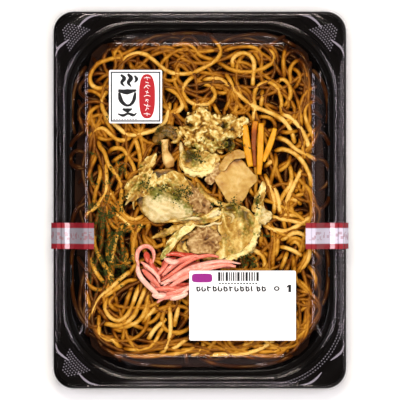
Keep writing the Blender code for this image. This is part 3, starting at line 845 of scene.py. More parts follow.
# %% [markdown]
# ## Toppings
# The vegetables and meat lie where the solids of the imported model lie, but with
# their real form: thin leaves with ruffled rims, folds and ribs, sticks with
# soft edges, lumps with a rough skin. They rest on a smoothed map of the heap,
# so nothing hangs in the air or sinks in. A leaf is a set of rings from its rim
# to its middle, lofted and thickened. One number for each point, its tint,
# says how green, brown or pale that place is, with painted shade in hollows and
# painted light on ridges, and the material reads it.

# %% Tools for leaves and rods
rest_map = blur(spread(heap, 4), 4)
CROWN_LIMIT = 43.2


def rim_line(points, count):
    """count even points round a smooth closed rim."""
    line = smooth_line(points, 0.25, closed=True)
    return line[np.linspace(0, len(line), count, endpoint=False).astype(int)]


def wrinkle(x, y, size, seed=0.0):
    """Smooth random height from about -1 to 1, with lumps of the given size in millimetres."""
    return noise.noise(Vector((x / size, y / size, seed)))


def ruffled(x, y, size, seed=0.0):
    """Height of soft tissue that has shrunk into winding ridges: 1 on a ridge, 0 between."""
    bend_x = x + 0.8 * size * wrinkle(x, y, size * 1.5, seed + 3)
    bend_y = y + 0.8 * size * wrinkle(y, x, size * 1.5, seed + 8)
    return 1.0 - min(1.0, 2.0 * abs(wrinkle(bend_x, bend_y, size, seed)))


def puffed(x, y, size, seed=0.0):
    """Height of puffed lobes parted by sharp creases: 0 in a crease, 1 on a lobe."""
    bend_x = x + 0.5 * size * wrinkle(x, y, size * 1.2, seed + 3)
    bend_y = y + 0.5 * size * wrinkle(y, x, size * 1.2, seed + 8)
    return min(1.0, 2.6 * abs(wrinkle(bend_x, bend_y, size, seed))) 


def streaks(x, y, turn, size, seed=0.0):
    """Height of soft folds that run one way (degrees): 1 on a fold, 0 between."""
    a = math.radians(turn)
    along, over = x * math.cos(a) + y * math.sin(a), y * math.cos(a) - x * math.sin(a)
    return 1.0 - min(1.0, 2.0 * abs(wrinkle(over, along * 0.28, size, seed + 13)))


def leaf(bm, rim, lift, thick=1.0, rings=12, steps=72, middle=None, finish=0, drape=1.0, ragged=0.5,
         crease=0.8, crease_size=5.0, edge=0.5, waves=7, seed=1.0, folds=None):
    """A thin piece with its rim at given points. lift gives its height over the heap, ragged tears
    its rim, crease raises winding ridges of crease_size, edge waves the rim up and down, and folds is
    (way, width, height) of folds that run one way."""
    line = rim_line(rim, steps)
    centre = np.array(middle) if middle is not None else line.mean(axis=0)
    level = float(read_map(rest_map, *centre))
    loops = []
    for k in range(rings):
        share = 1.0 - k / (rings - 0.5)
        loop = []
        for n, (px, py) in enumerate(line):
            turn = 2 * math.pi * n / steps
            reach = math.hypot(px - centre[0], py - centre[1])
            torn = 1.0 + ragged * (wrinkle(px, py, 1.6, seed) + 0.6 * wrinkle(px, py, 4.0, seed + 5)) / reach * share ** 2
            x = centre[0] + (px - centre[0]) * share * torn
            y = centre[1] + (py - centre[1]) * share * torn
            z = level + (float(read_map(rest_map, x, y)) - level) * drape + lift(x, y, share, turn)
            z += crease * 1.3 * (ruffled(x, y, crease_size, seed) - 0.4) + crease * 0.6 * ruffled(x, y, crease_size * 0.45, seed + 2)
            z += folds[2] * streaks(x, y, folds[0], folds[1], seed) if folds else 0.0
            z += edge * share ** 5 * math.sin(waves * turn + seed)
            loop.append((x * MM, y * MM, min(z, CROWN_LIMIT) * MM))
        loops.append(loop)
    under = [[(x, y, z - thick * MM * (0.55 if k == 0 else 1.0)) for x, y, z in loops[k]]
             for k in sorted(set(range(0, rings, 3)) | {rings - 1}, reverse=True)]
    small = bmesh.new()
    bmesh.ops.recalc_face_normals(small, faces=loft(small, under + loops, finish=finish))
    pour(small, bm)


def rod(bm, path, widths, heights, lift=0.0, sides=10, step=1.2, square=1.0, twist=0.0, finish=0, settle_in=True,
        rough=0.0):
    """A stem, stick or strip: rings swept along a line; square below 1 flattens its sides."""
    line = smooth_line(path, step)
    count = len(line)
    at = np.linspace(0, 1, count)
    wide = np.interp(at, np.linspace(0, 1, len(widths)), widths)
    high = np.interp(at, np.linspace(0, 1, len(heights)), heights)
    if line.shape[1] > 2:
        level = line[:, 2] + (read_map(rest_map, line[:, 0], line[:, 1]) if settle_in else 0.0)
    else:
        level = read_map(rest_map, line[:, 0], line[:, 1]) + high
    level = np.convolve(np.pad(level, 3, mode="edge"), np.ones(7) / 7, "valid") + lift
    along = np.gradient(line[:, :2], axis=0)
    along /= np.linalg.norm(along, axis=1)[:, None] + 1e-9
    rings = []
    for k in range(count):
        side = np.array([-along[k, 1], along[k, 0]])
        lean = math.radians(twist) * at[k]
        ring = []
        for s in range(sides):
            angle = 2 * math.pi * (s + 0.5) / sides
            c = math.copysign(abs(math.cos(angle)) ** square, math.cos(angle)) * wide[k]
            d = math.copysign(abs(math.sin(angle)) ** square, math.sin(angle)) * high[k]
            fat = 1.0 + rough * wrinkle(line[k, 0] + 3 * c, line[k, 1] + 3 * d, 1.7, 5.0)
            c, d = c * fat, d * fat
            across, up = c * math.cos(lean) - d * math.sin(lean), c * math.sin(lean) + d * math.cos(lean)
            x, y = line[k, :2] + side * across
            ring.append((x * MM, y * MM, min(level[k] + up, CROWN_LIMIT) * MM))
        rings.append(ring)
    small = bmesh.new()
    bmesh.ops.recalc_face_normals(small, faces=loft(small, rings, finish=finish))
    pour(small, bm)


def tint_piece(piece, base, spots=(), grain=0.08, grain_size=3.0, relief=0.0, green=()):
    """Give each point its tint: a base, soft spots (x, y, radius, amount), grain, and relief, painted
    light and shade that makes ridges paler and hollows darker; green spots say where the leaf keeps its green."""
    mesh = piece.data
    co = np.empty(len(mesh.vertices) * 3)
    mesh.vertices.foreach_get("co", co)
    co = co.reshape(-1, 3) / MM
    values = np.full(len(co), float(base))
    leafy = np.zeros(len(co))
    for target, places in ((values, spots), (leafy, green)):
        for x, y, radius, amount in places:
            target += amount * np.exp(-((co[:, 0] - x) ** 2 + (co[:, 1] - y) ** 2) / (radius * radius))
    values += grain * np.array([noise.noise(Vector(p / grain_size)) for p in co])
    if relief:
        top = np.zeros(heap.shape)
        i, j = cells_at(co, np.array([(0, 0)]))
        np.maximum.at(top, (i[:, 0], j[:, 0]), co[:, 2])
        known = blur((top > 0) * 1.0, 2)
        around = blur(top, 2) / np.maximum(known, 1e-6)
        # painted light and shade: points above their surroundings get paler, points below get darker
        values += relief * np.clip(co[:, 2] - read_map(around, co[:, 0], co[:, 1]) + 0.2, -1.6, 1.0)
    for name, field_values in (("tint", values), ("green", leafy)):
        mesh.attributes.new(name, "FLOAT", "POINT").data.foreach_set("value", field_values.astype(np.float32))
    return piece


# %% [markdown]
# ### Food materials
# Cooked food is moist and a little see-through, so each of these lets light in
# under its skin (subsurface) and carries a thin wet gloss. The colour runs
# along a ramp read by the tint, with small mottles of a real size on top.


# %% One recipe for cooked food
def cooked(name, stops, mottle_mm, mottle, rough, wet, soft, bump, stretch=(1, 1, 1), herb=None):
    """Colour ramp over the tint, mottled at a real size, moist and slightly see-through; herb is its green."""
    finish, tree, out = new_material(name)
    tint = add(tree, "Attribute", attribute_name="tint")
    place = add(tree, "TexCoord")
    laid = add(tree, "Mapping", {"Vector": place.outputs["Object"], "Scale": stretch})
    spots = add(tree, "TexNoise", {"Vector": laid.outputs[0], "Scale": 1.0 / (mottle_mm * MM), "Detail": 4.0,
                                   "Roughness": 0.6})
    centred = add(tree, "Math", {0: spots.outputs["Fac"], 1: -0.5}, operation="ADD")
    mixed = add(tree, "Math", {0: centred.outputs[0], 1: mottle, 2: tint.outputs["Fac"]}, operation="MULTIPLY_ADD",
                use_clamp=True)
    colour = add(tree, "ValToRGB", {"Fac": mixed.outputs[0]}, stops=stops)
    tissue = colour.outputs["Color"]
    if herb:
        leafy = add(tree, "Attribute", attribute_name="green")
        vein = add(tree, "TexNoise", {"Vector": place.outputs["Object"], "Scale": 1.0 / (1.7 * MM), "Detail": 3.0})
        patch = add(tree, "Math", {0: vein.outputs["Fac"], 1: leafy.outputs["Fac"]}, operation="ADD")
        cover = add(tree, "MapRange", {"Value": patch.outputs[0], "From Min": 0.62, "From Max": 1.0, "To Max": 0.9})
        shaded = add(tree, "Mix", {0: 1.0, 6: tissue, 7: paint(herb)}, data_type="RGBA", blend_type="MULTIPLY")
        tissue = add(tree, "Mix", {0: cover.outputs[0], 6: tissue, 7: shaded.outputs[2]}, data_type="RGBA").outputs[2]
    skin = add(tree, "Bump", {"Height": spots.outputs["Fac"], "Strength": 0.5, "Distance": bump * MM})
    body = add(tree, "BsdfPrincipled", {
        "Base Color": tissue, "Roughness": rough, "IOR": 1.4, "Normal": skin.outputs[0],
        "Subsurface Weight": soft, "Subsurface Radius": (1.0, 0.6, 0.3), "Subsurface Scale": 1.2 * MM,
        "Specular Tint": paint("#FFE4B0"), "Coat Weight": wet, "Coat Roughness": 0.15})
    tree.links.new(body.outputs[0], out.inputs["Surface"])
    return finish


# cabbage leaf fried soft: yellow blades, brown where they are see-through, olive-green in patches, darker in the folds
# as painted shade
cabbage = cooked("fried_cabbage_leaf", [(0.0, "#241604"), (0.2, "#58390C"), (0.42, "#8E601E"), (0.62, "#B98C38"),
                 (0.82, "#DCBB68"), (1.0, "#F6E29C")], 1.6, 0.5, 0.42, 0.08, 0.05, 0.7, herb="#7E9634")
# the thick white part of the leaf: pale, cooler, with a silky streak
cabbage_rib = cooked("fried_cabbage_rib", [(0.0, "#42320E"), (0.35, "#927434"), (0.65, "#C4A662"), (1.0, "#E6D29C")],
                     2.0, 0.5, 0.42, 0.08, 0.06, 0.7, (1.0, 1.7, 1.0), herb="#84983C")
# shimeji mushroom: smooth pale buff flesh, browner where the sauce wets it
mushroom_flesh = cooked("fried_mushroom", [(0.0, "#4A2E0E"), (0.35, "#A06A28"), (0.7, "#D0A058"), (1.0, "#F2CE88")],
                        2.6, 0.45, 0.45, 0.08, 0.06, 0.4, herb="#8CA03C")
# boiled pork edge: dull pinkish beige, its pits darker with brown sauce and with painted shade
pork_flesh = cooked("fried_pork", [(0.0, "#3A1E0C"), (0.35, "#7E5228"), (0.7, "#B28A52"), (1.0, "#D6B67E")],
                    1.6, 0.6, 0.5, 0.08, 0.05, 0.9)
# pork fat and lean slice: smooth tan, golden rim
slice_flesh = cooked("fried_slice", [(0.0, "#5A320C"), (0.35, "#A06A20"), (0.7, "#C49A4C"), (1.0, "#DEBE78")],
                     3.2, 0.45, 0.42, 0.08, 0.06, 0.4)
# carrot sticks: even orange, red-brown where they lie deep in sauce
carrot_flesh = cooked("fried_carrot", [(0.0, "#5A1A04"), (0.35, "#A85004"), (0.7, "#D88E0C"), (1.0, "#F0B028")],
                      2.4, 0.3, 0.4, 0.08, 0.03, 0.3, (3, 1, 1))
# red pickled ginger: wet pink threads, deep red where they overlap
ginger_flesh = cooked("red_pickled_ginger", [(0.0, "#780E04"), (0.3, "#BE3020"), (0.6, "#DC6E58"), (0.85, "#F09884"),
                      (1.0, "#F8C0AC")], 2.2, 0.3, 0.28, 0.4, 0.1, 0.25)
# dried green seaweed powder: matt dark green
seaweed = cooked("dried_green_seaweed", [(0.0, "#182008"), (0.5, "#303C12"), (1.0, "#5A6424")],
                 1.0, 0.5, 0.85, 0.0, 0.0, 0.2)

# %% [markdown]
# ### Crinkled cabbage
# The heart of a cabbage leaf fries into a mass of winding ruffles. One leaf
# with deep ridges makes the mass, and small torn lobes with waved rims stand
# over its edge, round hollows that are painted darker as shade.

# %% Crinkled cabbage
HOLLOWS = [(-6, 46.4, 2.4, 2.6), (0.4, 47.4, 2.0, 1.8), (15.6, 46.4, 2.6, 3.0), (18.6, 34.6, 3.6, 3.4), (-4.6, 31.6, 3.0, 2.8),
           (6.0, 39.4, 2.0, 1.6), (21.4, 44.0, 2.2, 2.4), (-3.2, 40.6, 1.8, 1.6), (10.6, 30.6, 3.0, 1.2), (12.8, 40.0, 1.6, 1.2)]
HEART_RIM = [(-3.0, 55.4), (1.6, 58.6), (5.2, 55.8), (9.6, 54.2), (15.4, 53.4), (20.4, 53.6), (22.6, 50.4), (27.2, 52.4), (30.4, 49.6),
             (28.4, 46.4), (25.2, 44.6), (24.8, 40.6), (21.6, 37.4), (22.4, 33.6), (17.6, 31.6), (13.6, 33.0), (9.4, 29.2), (4.4, 31.6),
             (0.4, 30.6), (-4.4, 32.4), (-8.6, 34.6), (-9.4, 38.4), (-13.4, 41.4), (-11.4, 45.6), (-7.0, 47.4), (-8.4, 51.4)]


def heart(x, y, share, turn):
    x, y = x + 1.6 * wrinkle(x, y, 3.0, 71), y + 1.6 * wrinkle(x, y, 3.0, 77)
    z = 0.8 + 2.2 * (1 - share ** 3) + 3.2 * puffed(x, y, 9.0, 22) + 1.3 * puffed(x, y, 4.6, 27)
    return z - sum(deep * math.exp(-((x - a) ** 2 + (y - b) ** 2) / (reach * reach)) for a, b, reach, deep in HOLLOWS)


bm = bmesh.new()
leaf(bm, HEART_RIM, heart, thick=0.8, rings=34, steps=170, middle=(6.4, 43.4), ragged=1.6, crease=0.3, crease_size=3.0,
     edge=0.7, waves=17, seed=12.0)
for n, (x, y, across, along, turn, lift) in enumerate([
        (1.2, 55.2, 4.4, 3.0, 20, 2.6), (-5.6, 51.6, 4.6, 3.2, 45, 2.2), (-9.4, 42.6, 4.6, 3.4, -35, 2.6), (-6.4, 36.8, 3.8, 4.2, 30, 2.4),
        (27.0, 49.2, 3.4, 2.6, 30, 2.0), (19.2, 50.8, 4.2, 2.8, -12, 2.8), (9.0, 50.4, 4.6, 3.0, -16, 3.8), (24.4, 43.2, 2.6, 3.6, 12, 2.2),
        (2.2, 43.4, 4.4, 3.0, 20, 4.2), (10.0, 43.6, 4.8, 2.8, -24, 4.2), (1.0, 35.6, 4.4, 3.2, 10, 3.0), (13.8, 36.6, 4.2, 3.0, -30, 3.4),
        (10.0, 31.2, 5.2, 1.6, -6, 1.4), (17.6, 40.4, 3.2, 2.4, 50, 3.0)]):
    a = math.radians(turn)
    turns = [2 * math.pi * k / 12 for k in range(12)]
    rim = [(x + across * math.cos(t) * math.cos(a) - along * math.sin(t) * math.sin(a),
            y + across * math.cos(t) * math.sin(a) + along * math.sin(t) * math.cos(a)) for t in turns]
    leaf(bm, rim, lambda px, py, s, t, lift=lift, n=n: lift + 1.6 * puffed(px, py, 5.0, 80 + n) - 0.6 * s, thick=0.7, rings=9,
         steps=48, middle=(x, y), ragged=1.4, crease=0.25, crease_size=2.4, edge=0.8, waves=5 + n % 3, seed=30.0 + n)
crinkle = make_piece("crinkled_cabbage_heart", bm, [cabbage], ["crinkled_cabbage"])
# the darker tint in the hollows is painted shade; the green spots are the leaf's own colour
tint_piece(crinkle, 0.71, [(x, y, reach, -0.16 * deep) for x, y, reach, deep in HOLLOWS], 0.26, 1.8, 0.34,
           [(15.8, 46.6, 2.4, 0.7), (19, 34.6, 4.4, 0.75), (-4, 31.6, 4.0, 0.7), (9, 34, 6, 0.3), (-6, 46, 2.4, 0.3), (4, 40, 4, 0.15)])

# %% [markdown]
# ### Leaves
# Softer leaves lie over the noodles as single blades. Each gets a listed rim
# and a height rule of its own: a dome, a curled rim, ribs or a fold. The
# pale stalk side and the thin green side are two materials of one piece.

# %% Small leaf, green bits and the leaf over the mushroom
both_sides = [cabbage, cabbage_rib]
bm = bmesh.new()
leaf(bm, [(-12, 24), (-12.4, 29), (-8, 31.4), (-1, 31.6), (5, 30.4), (9.4, 26.6), (8.0, 21), (3, 18.4), (-5, 18.2), (-9.6, 20.6)],
     lambda x, y, s, t: 0.9 + 1.6 * s * s - 0.5 * (1 - s), thick=0.9, rings=13, steps=72, crease=0.4, crease_size=4.6, edge=0.8, seed=3.0)
rod(bm, [(-12.8, 25.4), (-11.2, 21.4), (-6.4, 17.6), (-0.6, 16.4), (4.2, 17.0), (8.0, 19.6), (9.4, 24.4)], [0.5, 1.5, 2.0, 2.0, 1.8, 1.4, 0.5],
    [0.5, 1.1, 1.5, 1.5, 1.3, 1.0, 0.4], lift=0.9, sides=12, step=0.6, rough=0.9)
rod(bm, [(-12.0, 36.4), (-11.6, 32), (-10.4, 27.6), (-9.0, 23.6)], [0.7, 1.6, 1.8, 0.7], [0.4, 0.9, 0.9, 0.4], lift=0.9, sides=10, finish=1)
leaf(bm, [(1.2, 22.4), (3.4, 26.6), (7.6, 29.4), (12.4, 27.6), (12.0, 23.6), (8.8, 20.4), (4.4, 19.6)],
     lambda x, y, s, t: 1.2 + 0.8 * s, thick=0.8, rings=8, steps=44, crease=0.5, crease_size=3.4, seed=4.0)
small_leaf = make_piece("small_cabbage_leaf", bm, both_sides, ["small_leaf"])
tint_piece(small_leaf, 0.72, [(-3, 27.5, 4.4, -0.2), (-7, 29.6, 3.6, -0.4), (4, 30, 3.0, -0.2), (-8.4, 24, 2.4, -0.4),
                              (5, 18, 4.0, 0.2), (-4, 17.4, 4.0, 0.2), (1, 19, 3.0, 0.1), (-10.8, 31, 2.0, 0.0)], 0.16, 1.6, 0.3,
           [(-2, 26.0, 4.6, 0.35), (-7, 28.6, 3.6, 0.7), (6, 27, 3.0, 0.3), (-4, 22.6, 3, 0.3)])

bm = bmesh.new()
leaf(bm, [(-29.5, 37.0), (-29, 41.5), (-25.4, 45.6), (-20.5, 47.6), (-15.4, 46.2), (-13.4, 41.5), (-14.6, 37.2), (-18.5, 38.2), (-22, 38.6), (-26, 35.4)],
     lambda x, y, s, t: 1.2 + 1.8 * (1 - s * s), thick=0.9, rings=12, steps=64, crease=0.4, crease_size=5.0, edge=0.7, seed=9.0)
rod(bm, [(-17.6, 46.4), (-14.2, 44.2), (-12.8, 40.6), (-14.2, 37.2), (-18.2, 36.0)], [0.7, 1.4, 1.5, 1.4, 0.7],
    [0.6, 1.1, 1.2, 1.0, 0.6], lift=1.4, sides=10, step=0.7, rough=0.6)
over_leaf = make_piece("leaf_over_the_mushroom", bm, both_sides, ["leaf_over_mushroom"])
tint_piece(over_leaf, 0.29, [(-13.6, 42, 1.8, 0.2), (-16, 36.6, 2.0, 0.3), (-25, 42, 4, -0.05)], 0.2, 1.6, 0.35,
           [(-22, 42, 7.0, 0.45)])

bm = bmesh.new()
leaf(bm, [(-38.4, 18.4), (-37.2, 23), (-33, 26.8), (-28.2, 29.4), (-26.6, 26.4), (-29.0, 22.0), (-33.4, 18.4)],
     lambda x, y, s, t: 1.2 + 1.0 * (1 - s), thick=0.8, rings=9, steps=48, ragged=1.1, crease=0.5, crease_size=3.2, edge=0.7, waves=5, seed=5.0, folds=(50, 3.0, 1.2))
leaf(bm, [(-38.4, 12.4), (-38.0, 18.6), (-34.6, 21.6), (-30.6, 21.2), (-29.6, 16.6), (-31.6, 11.6), (-35.4, 9.6)],
     lambda x, y, s, t: 1.6 + 0.8 * (1 - s), thick=0.7, rings=9, steps=48, ragged=1.1, crease=0.5, crease_size=3.6, edge=0.7, waves=4, seed=6.0, folds=(70, 3.0, 1.2))
bit = make_piece("cabbage_scrap", bm, both_sides, ["cabbage_bit"])
tint_piece(bit, 0.62, [(-29, 26, 2.4, 0.1), (-36, 20.6, 2.0, -0.2), (-35, 14, 3, -0.2)], 0.18, 1.6, 0.42, [(-34, 15, 3, 0.4), (-37, 21, 2, 0.4)])

# %% Mushroom
bm = bmesh.new()
rod(bm, [(-22.2, 38.0), (-22.0, 34.0), (-21.8, 30.6), (-20.6, 27.0), (-19.4, 23.8), (-18.6, 20.6)],
    [2.6, 2.3, 2.1, 3.2, 3.8, 2.4], [2.0, 1.9, 1.9, 2.5, 2.7, 1.4], lift=0.4, sides=18, step=0.7)
mushroom = make_piece("shimeji_mushroom", bm, [mushroom_flesh], ["mushroom"])
tint_piece(mushroom, 0.73, [(-17.6, 21.6, 3.0, -0.35), (-24, 34, 1.6, -0.25), (-20.4, 30, 1.6, -0.15), (-22, 26, 2.6, 0.12)], 0.2, 2.4, 0.2,
           [(-22, 33, 3, 0.3)])

# %% [markdown]
# ### The large leaf
# A pale domed blade with a see-through brown wing above it, green threads where
# they meet, a lobe with a white stem on its left and two crinkled yellow bits.

# %% Large leaf
bm = bmesh.new()
leaf(bm, [(-39, -2), (-39.4, 5), (-36, 12), (-30.4, 17.4), (-22, 19.4), (-15, 18.4), (-8.6, 14.4), (-3.4, 9.4), (1.6, 5.4), (4.4, -1.6),
          (1.4, -8.6), (-7, -11.8), (-18, -13.4), (-29, -12.6), (-36.4, -8)],
     lambda x, y, s, t: 0.4 + 1.2 * (1 - s), thick=0.8, rings=18, steps=110, middle=(-18, 3), drape=0.6, crease=0.4, crease_size=6.0, seed=10.0, folds=(-40, 5.0, 1.0))
leaf(bm, [(-36.4, -4), (-35.4, 3.6), (-31.4, 7.6), (-25, 8.4), (-19, 5.6), (-12.4, 2.4), (-8, -1.4), (-4.4, -6.6), (-5.6, -10.4), (-11, -11.8),
          (-18, -12.6), (-26, -14.4), (-31.4, -12.4), (-35, -8.6)],
     lambda x, y, s, t: 1.3 + 3.2 * (1 - s ** 2.4) + 0.4 * math.sin(1.1 * (x * 0.5 + y)) * (1 - s), thick=1.1, rings=18, steps=100,
     middle=(-21, -3.8), drape=0.3, finish=1, ragged=0.6, crease=0.25, crease_size=6.5, edge=0.4, waves=9, seed=2.0, folds=(-28, 4.4, 0.8))
leaf(bm, [(-24, 9.4), (-22.6, 15.0), (-17, 18.4), (-11.6, 16.4), (-7.0, 11.0), (-5.0, 6.4), (-8.6, 2.8), (-14, 3.4), (-19.6, 6.4)],
     lambda x, y, s, t: 2.2 + 0.9 * (1 - s) - 0.05 * abs(x + 14), thick=0.6, rings=14, steps=80, drape=0.4, crease=0.35, crease_size=4.8, edge=0.8, seed=8.0, folds=(-50, 4.2, 1.2))
leaf(bm, [(-46.6, 1), (-47.2, 8.6), (-43.6, 13.4), (-38.6, 16.0), (-33.4, 17.6), (-31.0, 13.6), (-30.6, 7), (-33.2, 3), (-37.6, 1.4), (-42, -1.0)],
     lambda x, y, s, t: 1.3 + 1.2 * (1 - s) + 0.6 * math.sin(0.9 * x - 0.8 * y), thick=0.7, rings=14, steps=76, drape=0.5,
     ragged=0.9, crease=0.5, crease_size=4.6, edge=0.9, waves=6, seed=21.0, folds=(60, 4.0, 1.6))
for n, (x, y, across, along, turn) in enumerate([(-29.0, 12.0, 3.4, 4.6, 10), (-22.6, 12.4, 4.4, 3.2, 30), (-19.0, 6.2, 6.4, 1.7, -28),
                                                 (-34.4, 8.4, 3.0, 3.6, 20), (-33.0, 4.2, 3.8, 1.8, 12)]):
    a = math.radians(turn)
    turns = [2 * math.pi * k / 12 for k in range(12)]
    rim = [(x + across * math.cos(t) * math.cos(a) - along * math.sin(t) * math.sin(a),
            y + across * math.cos(t) * math.sin(a) + along * math.sin(t) * math.cos(a)) for t in turns]
    leaf(bm, rim, lambda px, py, s, t: 3.4 + 0.3 * (1 - s), thick=0.6, rings=9, steps=44, drape=0.3, ragged=1.3, crease=0.7,
         crease_size=3.2, edge=0.9, waves=5, seed=60.0 + n)
rod(bm, [(-46.8, -3.0), (-44.0, 0.6), (-41.0, 3.4), (-37.4, 5.2), (-34.8, 8.4)], [0.5, 1.1, 1.2, 1.2, 0.5], [0.4, 0.9, 1.0, 0.9, 0.4], lift=1.0, sides=10, finish=1)
rod(bm, [(-40.4, 1.6), (-41.8, -2.0), (-41.4, -6.0)], [0.6, 0.8, 0.4], [0.5, 0.7, 0.3], lift=0.8, sides=8, finish=1)
rod(bm, [(-26, -14.2), (-18, -13.2), (-10, -12.4), (-4.4, -11.4), (1.4, -8.4), (4.4, -6.6)], [0.5, 1.0, 1.2, 1.3, 1.2, 0.5],
    [0.5, 0.8, 0.9, 0.9, 0.8, 0.4], lift=0.6, sides=10)
big_leaf = make_piece("large_cabbage_leaf", bm, both_sides, ["big_leaf"])
tint_piece(big_leaf, 0.62, [(-23, -5, 8, 0.2), (-24, 0, 3.4, 0.1), (-13, -7, 6, 0.08), (-11, 7, 3.4, -0.15), (-4, 4.4, 5, -0.3),
                            (-24, 5.0, 2.0, -0.2), (-17.6, 4.2, 2.2, -0.2), (-29, 12, 3.6, 0.24), (-22, 12.2, 3.4, 0.24),
                            (-38.4, 1, 3.0, -0.3), (-33, -3, 3.4, 0.0), (-25, 17, 3, -0.2), (-39, -4, 4, -0.3)],
           0.18, 1.8, 0.32, [(-25, 5, 6, 0.4), (-14, 2, 5, 0.42), (-16, 9, 6, 0.25), (-8, -4, 4, 0.4), (-41, 8, 5, 0.3), (-36, 10, 4, 0.3),
                           (-2, -9, 5, 0.36), (-30, 4, 4, 0.3)])

# %% Pork pieces and the white knob
bm = bmesh.new()
leaf(bm, [(-8.4, 4.4), (-5.4, 8.8), (0, 6.6), (4.6, 2.4), (8.0, -3.0), (6.0, -8.0), (0, -8.4), (-4.4, -5), (-7.4, 0)],
     lambda x, y, s, t: 1.6 + 1.3 * (1 - s * s), thick=1.6, rings=12, steps=64, ragged=1.4, crease=0.9, crease_size=4.6, edge=0.5, seed=31.0, folds=(-50, 3.6, 0.9))
upper_pork = make_piece("pork_upper_piece", bm, [pork_flesh], ["pork_upper"])
tint_piece(upper_pork, 0.55, [(2, -4, 2.4, -0.25), (-3, 2, 2.0, 0.1), (-5, 6, 2, -0.2), (5, -6, 2, -0.15)], 0.3, 1.6, 0.45)
bm = bmesh.new()
leaf(bm, [(-7.4, -26), (-5, -20.4), (1, -17.0), (8, -17.6), (12, -21), (13.4, -27), (10, -33.0), (2, -34.6), (-4, -33.4), (-6.6, -30)],
     lambda x, y, s, t: 3.0 + 1.0 * (1 - s * s), thick=1.5, rings=16, steps=90, ragged=1.5, crease=0.9, crease_size=5.0, edge=0.6, seed=33.0, folds=(25, 4.0, 1.0))
lower_pork = make_piece("pork_lower_piece", bm, [pork_flesh], ["pork_lower"])
tint_piece(lower_pork, 0.62, [(4.4, -25, 3.4, -0.4), (8.4, -29, 2.4, -0.35), (-4, -24, 3, 0.1), (2, -20, 2.2, -0.1), (-8, -30, 3, 0.12), (-4, -33, 3, 0.15)], 0.3, 1.6, 0.45)
bm = bmesh.new()
leaf(bm, [(9.4, 23.4), (13.2, 22.4), (13.0, 17.6), (10.4, 12.0), (5.6, 9.4), (3, 12.4), (5.6, 17)],
     lambda x, y, s, t: 1.6 + 0.9 * (1 - s), thick=1.3, rings=9, steps=48, ragged=1.1, crease=0.9, crease_size=3.2, seed=35.0)
beige = make_piece("beige_pork_piece", bm, [pork_flesh], ["beige_piece"])
tint_piece(beige, 0.6, [(8, 15, 2.4, 0.1)], 0.26, 1.6, 0.45)
bm = bmesh.new()
leaf(bm, [(37.0, -6.8), (39.2, -2.6), (41.6, -5.6), (45.2, -7.8), (44.8, -12), (41, -15.4), (37.6, -14.4), (36.4, -10)],
     lambda x, y, s, t: 1.4 + 1.4 * (1 - s * s), thick=1.1, rings=9, steps=48, ragged=0.9, crease=0.8, crease_size=3.0, finish=1, seed=36.0)
knob = make_piece("white_cabbage_knob", bm, both_sides, ["white_knob"])
tint_piece(knob, 0.77, [(42, -12, 2.0, 0.08), (38, -13, 2, -0.2)], 0.14, 1.6, 0.35, [(38, -7, 2.4, 0.4)])

# %% Slice with a folded flap
bm = bmesh.new()
leaf(bm, [(9.4, 13.0), (13.0, 17.5), (15.4, 22), (19, 26), (24, 27.4), (28.4, 23), (32.2, 18.4), (36.4, 13.4), (31.6, 7.5), (29.4, 2.6), (25.5, -2.2),
          (22, -4.6), (17.6, -1.4), (13.6, 5.4)],
     lambda x, y, s, t: 1.6 + 1.1 * s * s * math.cos(2 * t + 0.6) + 0.5 * (1 - s), thick=1.4, rings=18, steps=100, drape=0.4,
     ragged=0.5, crease=0.45, crease_size=11.0, edge=0.2, waves=9, seed=41.0)
leaf(bm, [(11.6, 19.4), (14.0, 24.6), (18.4, 29.6), (23.4, 31.6), (28.4, 30.0), (28.6, 26.6), (23.4, 26.0), (19.4, 23.6), (15.6, 18.4)],
     lambda x, y, s, t: 2.8 + 0.6 * (1 - s), thick=1.1, rings=10, steps=60, drape=0.4, ragged=0.5, crease=0.5, crease_size=7.0, edge=0.4, seed=43.0)
tan_slice = make_piece("folded_slice", bm, [slice_flesh], ["tan_slice"])
tint_piece(tan_slice, 0.63, [(22, 12, 5, 0.10), (26, 17, 4, 0.08), (20, 28, 4, -0.3), (26, 28, 3, -0.2), (14, 21, 3, -0.3), (34, 12, 2.6, -0.25), (23, -2, 4, -0.25),
                             (13, 9, 3, -0.2), (24, 24, 2.4, -0.3), (29, 5, 2.4, -0.15)], 0.16, 2.0, 0.4)

# %% [markdown]
# ### Sticks, strips and the lower leaf
# Carrots are cut into square sticks, so their rings are squared off. Leaf ribs
# and strips are the same kind of rod, flattened and tapered.

# %% Carrot sticks and the sprout
bm = bmesh.new()
rod(bm, [(28.6, 47.0), (29.0, 40), (30.0, 31), (31.9, 21.0)], [1.6, 2.3, 2.3, 1.6], [1.3, 1.9, 1.9, 1.0], lift=0.8, sides=12, square=0.45)
carrot_one = make_piece("carrot_stick_1", bm, [carrot_flesh], ["carrot_1"])
tint_piece(carrot_one, 0.78, [(27.8, 34, 1.4, -0.25), (28.6, 27, 1.4, -0.25)], 0.16, 2.4)
bm = bmesh.new()
rod(bm, [(35.0, 49.6), (34.2, 44), (33.9, 34), (34.5, 21)], [1.9, 1.7, 1.3, 1.2], [1.4, 1.1, 0.9, 0.9], lift=-0.3, sides=12, square=0.5)
carrot_two = make_piece("carrot_stick_2", bm, [carrot_flesh], ["carrot_2"])
tint_piece(carrot_two, 0.15, [(35, 48, 3.4, 0.5)], 0.15, 2.0)
bm = bmesh.new()
rod(bm, [(38.5, 48.2), (38.1, 36), (37.8, 26), (37.2, 16.0)], [1.7, 2.0, 2.1, 1.4], [1.3, 1.7, 1.7, 1.0], lift=0.8, sides=12, square=0.45)
carrot_three = make_piece("carrot_stick_3", bm, [carrot_flesh], ["carrot_3"])
tint_piece(carrot_three, 0.79, [(37.6, 20, 4, -0.12), (39.6, 36, 1.6, -0.2)], 0.16, 2.4)
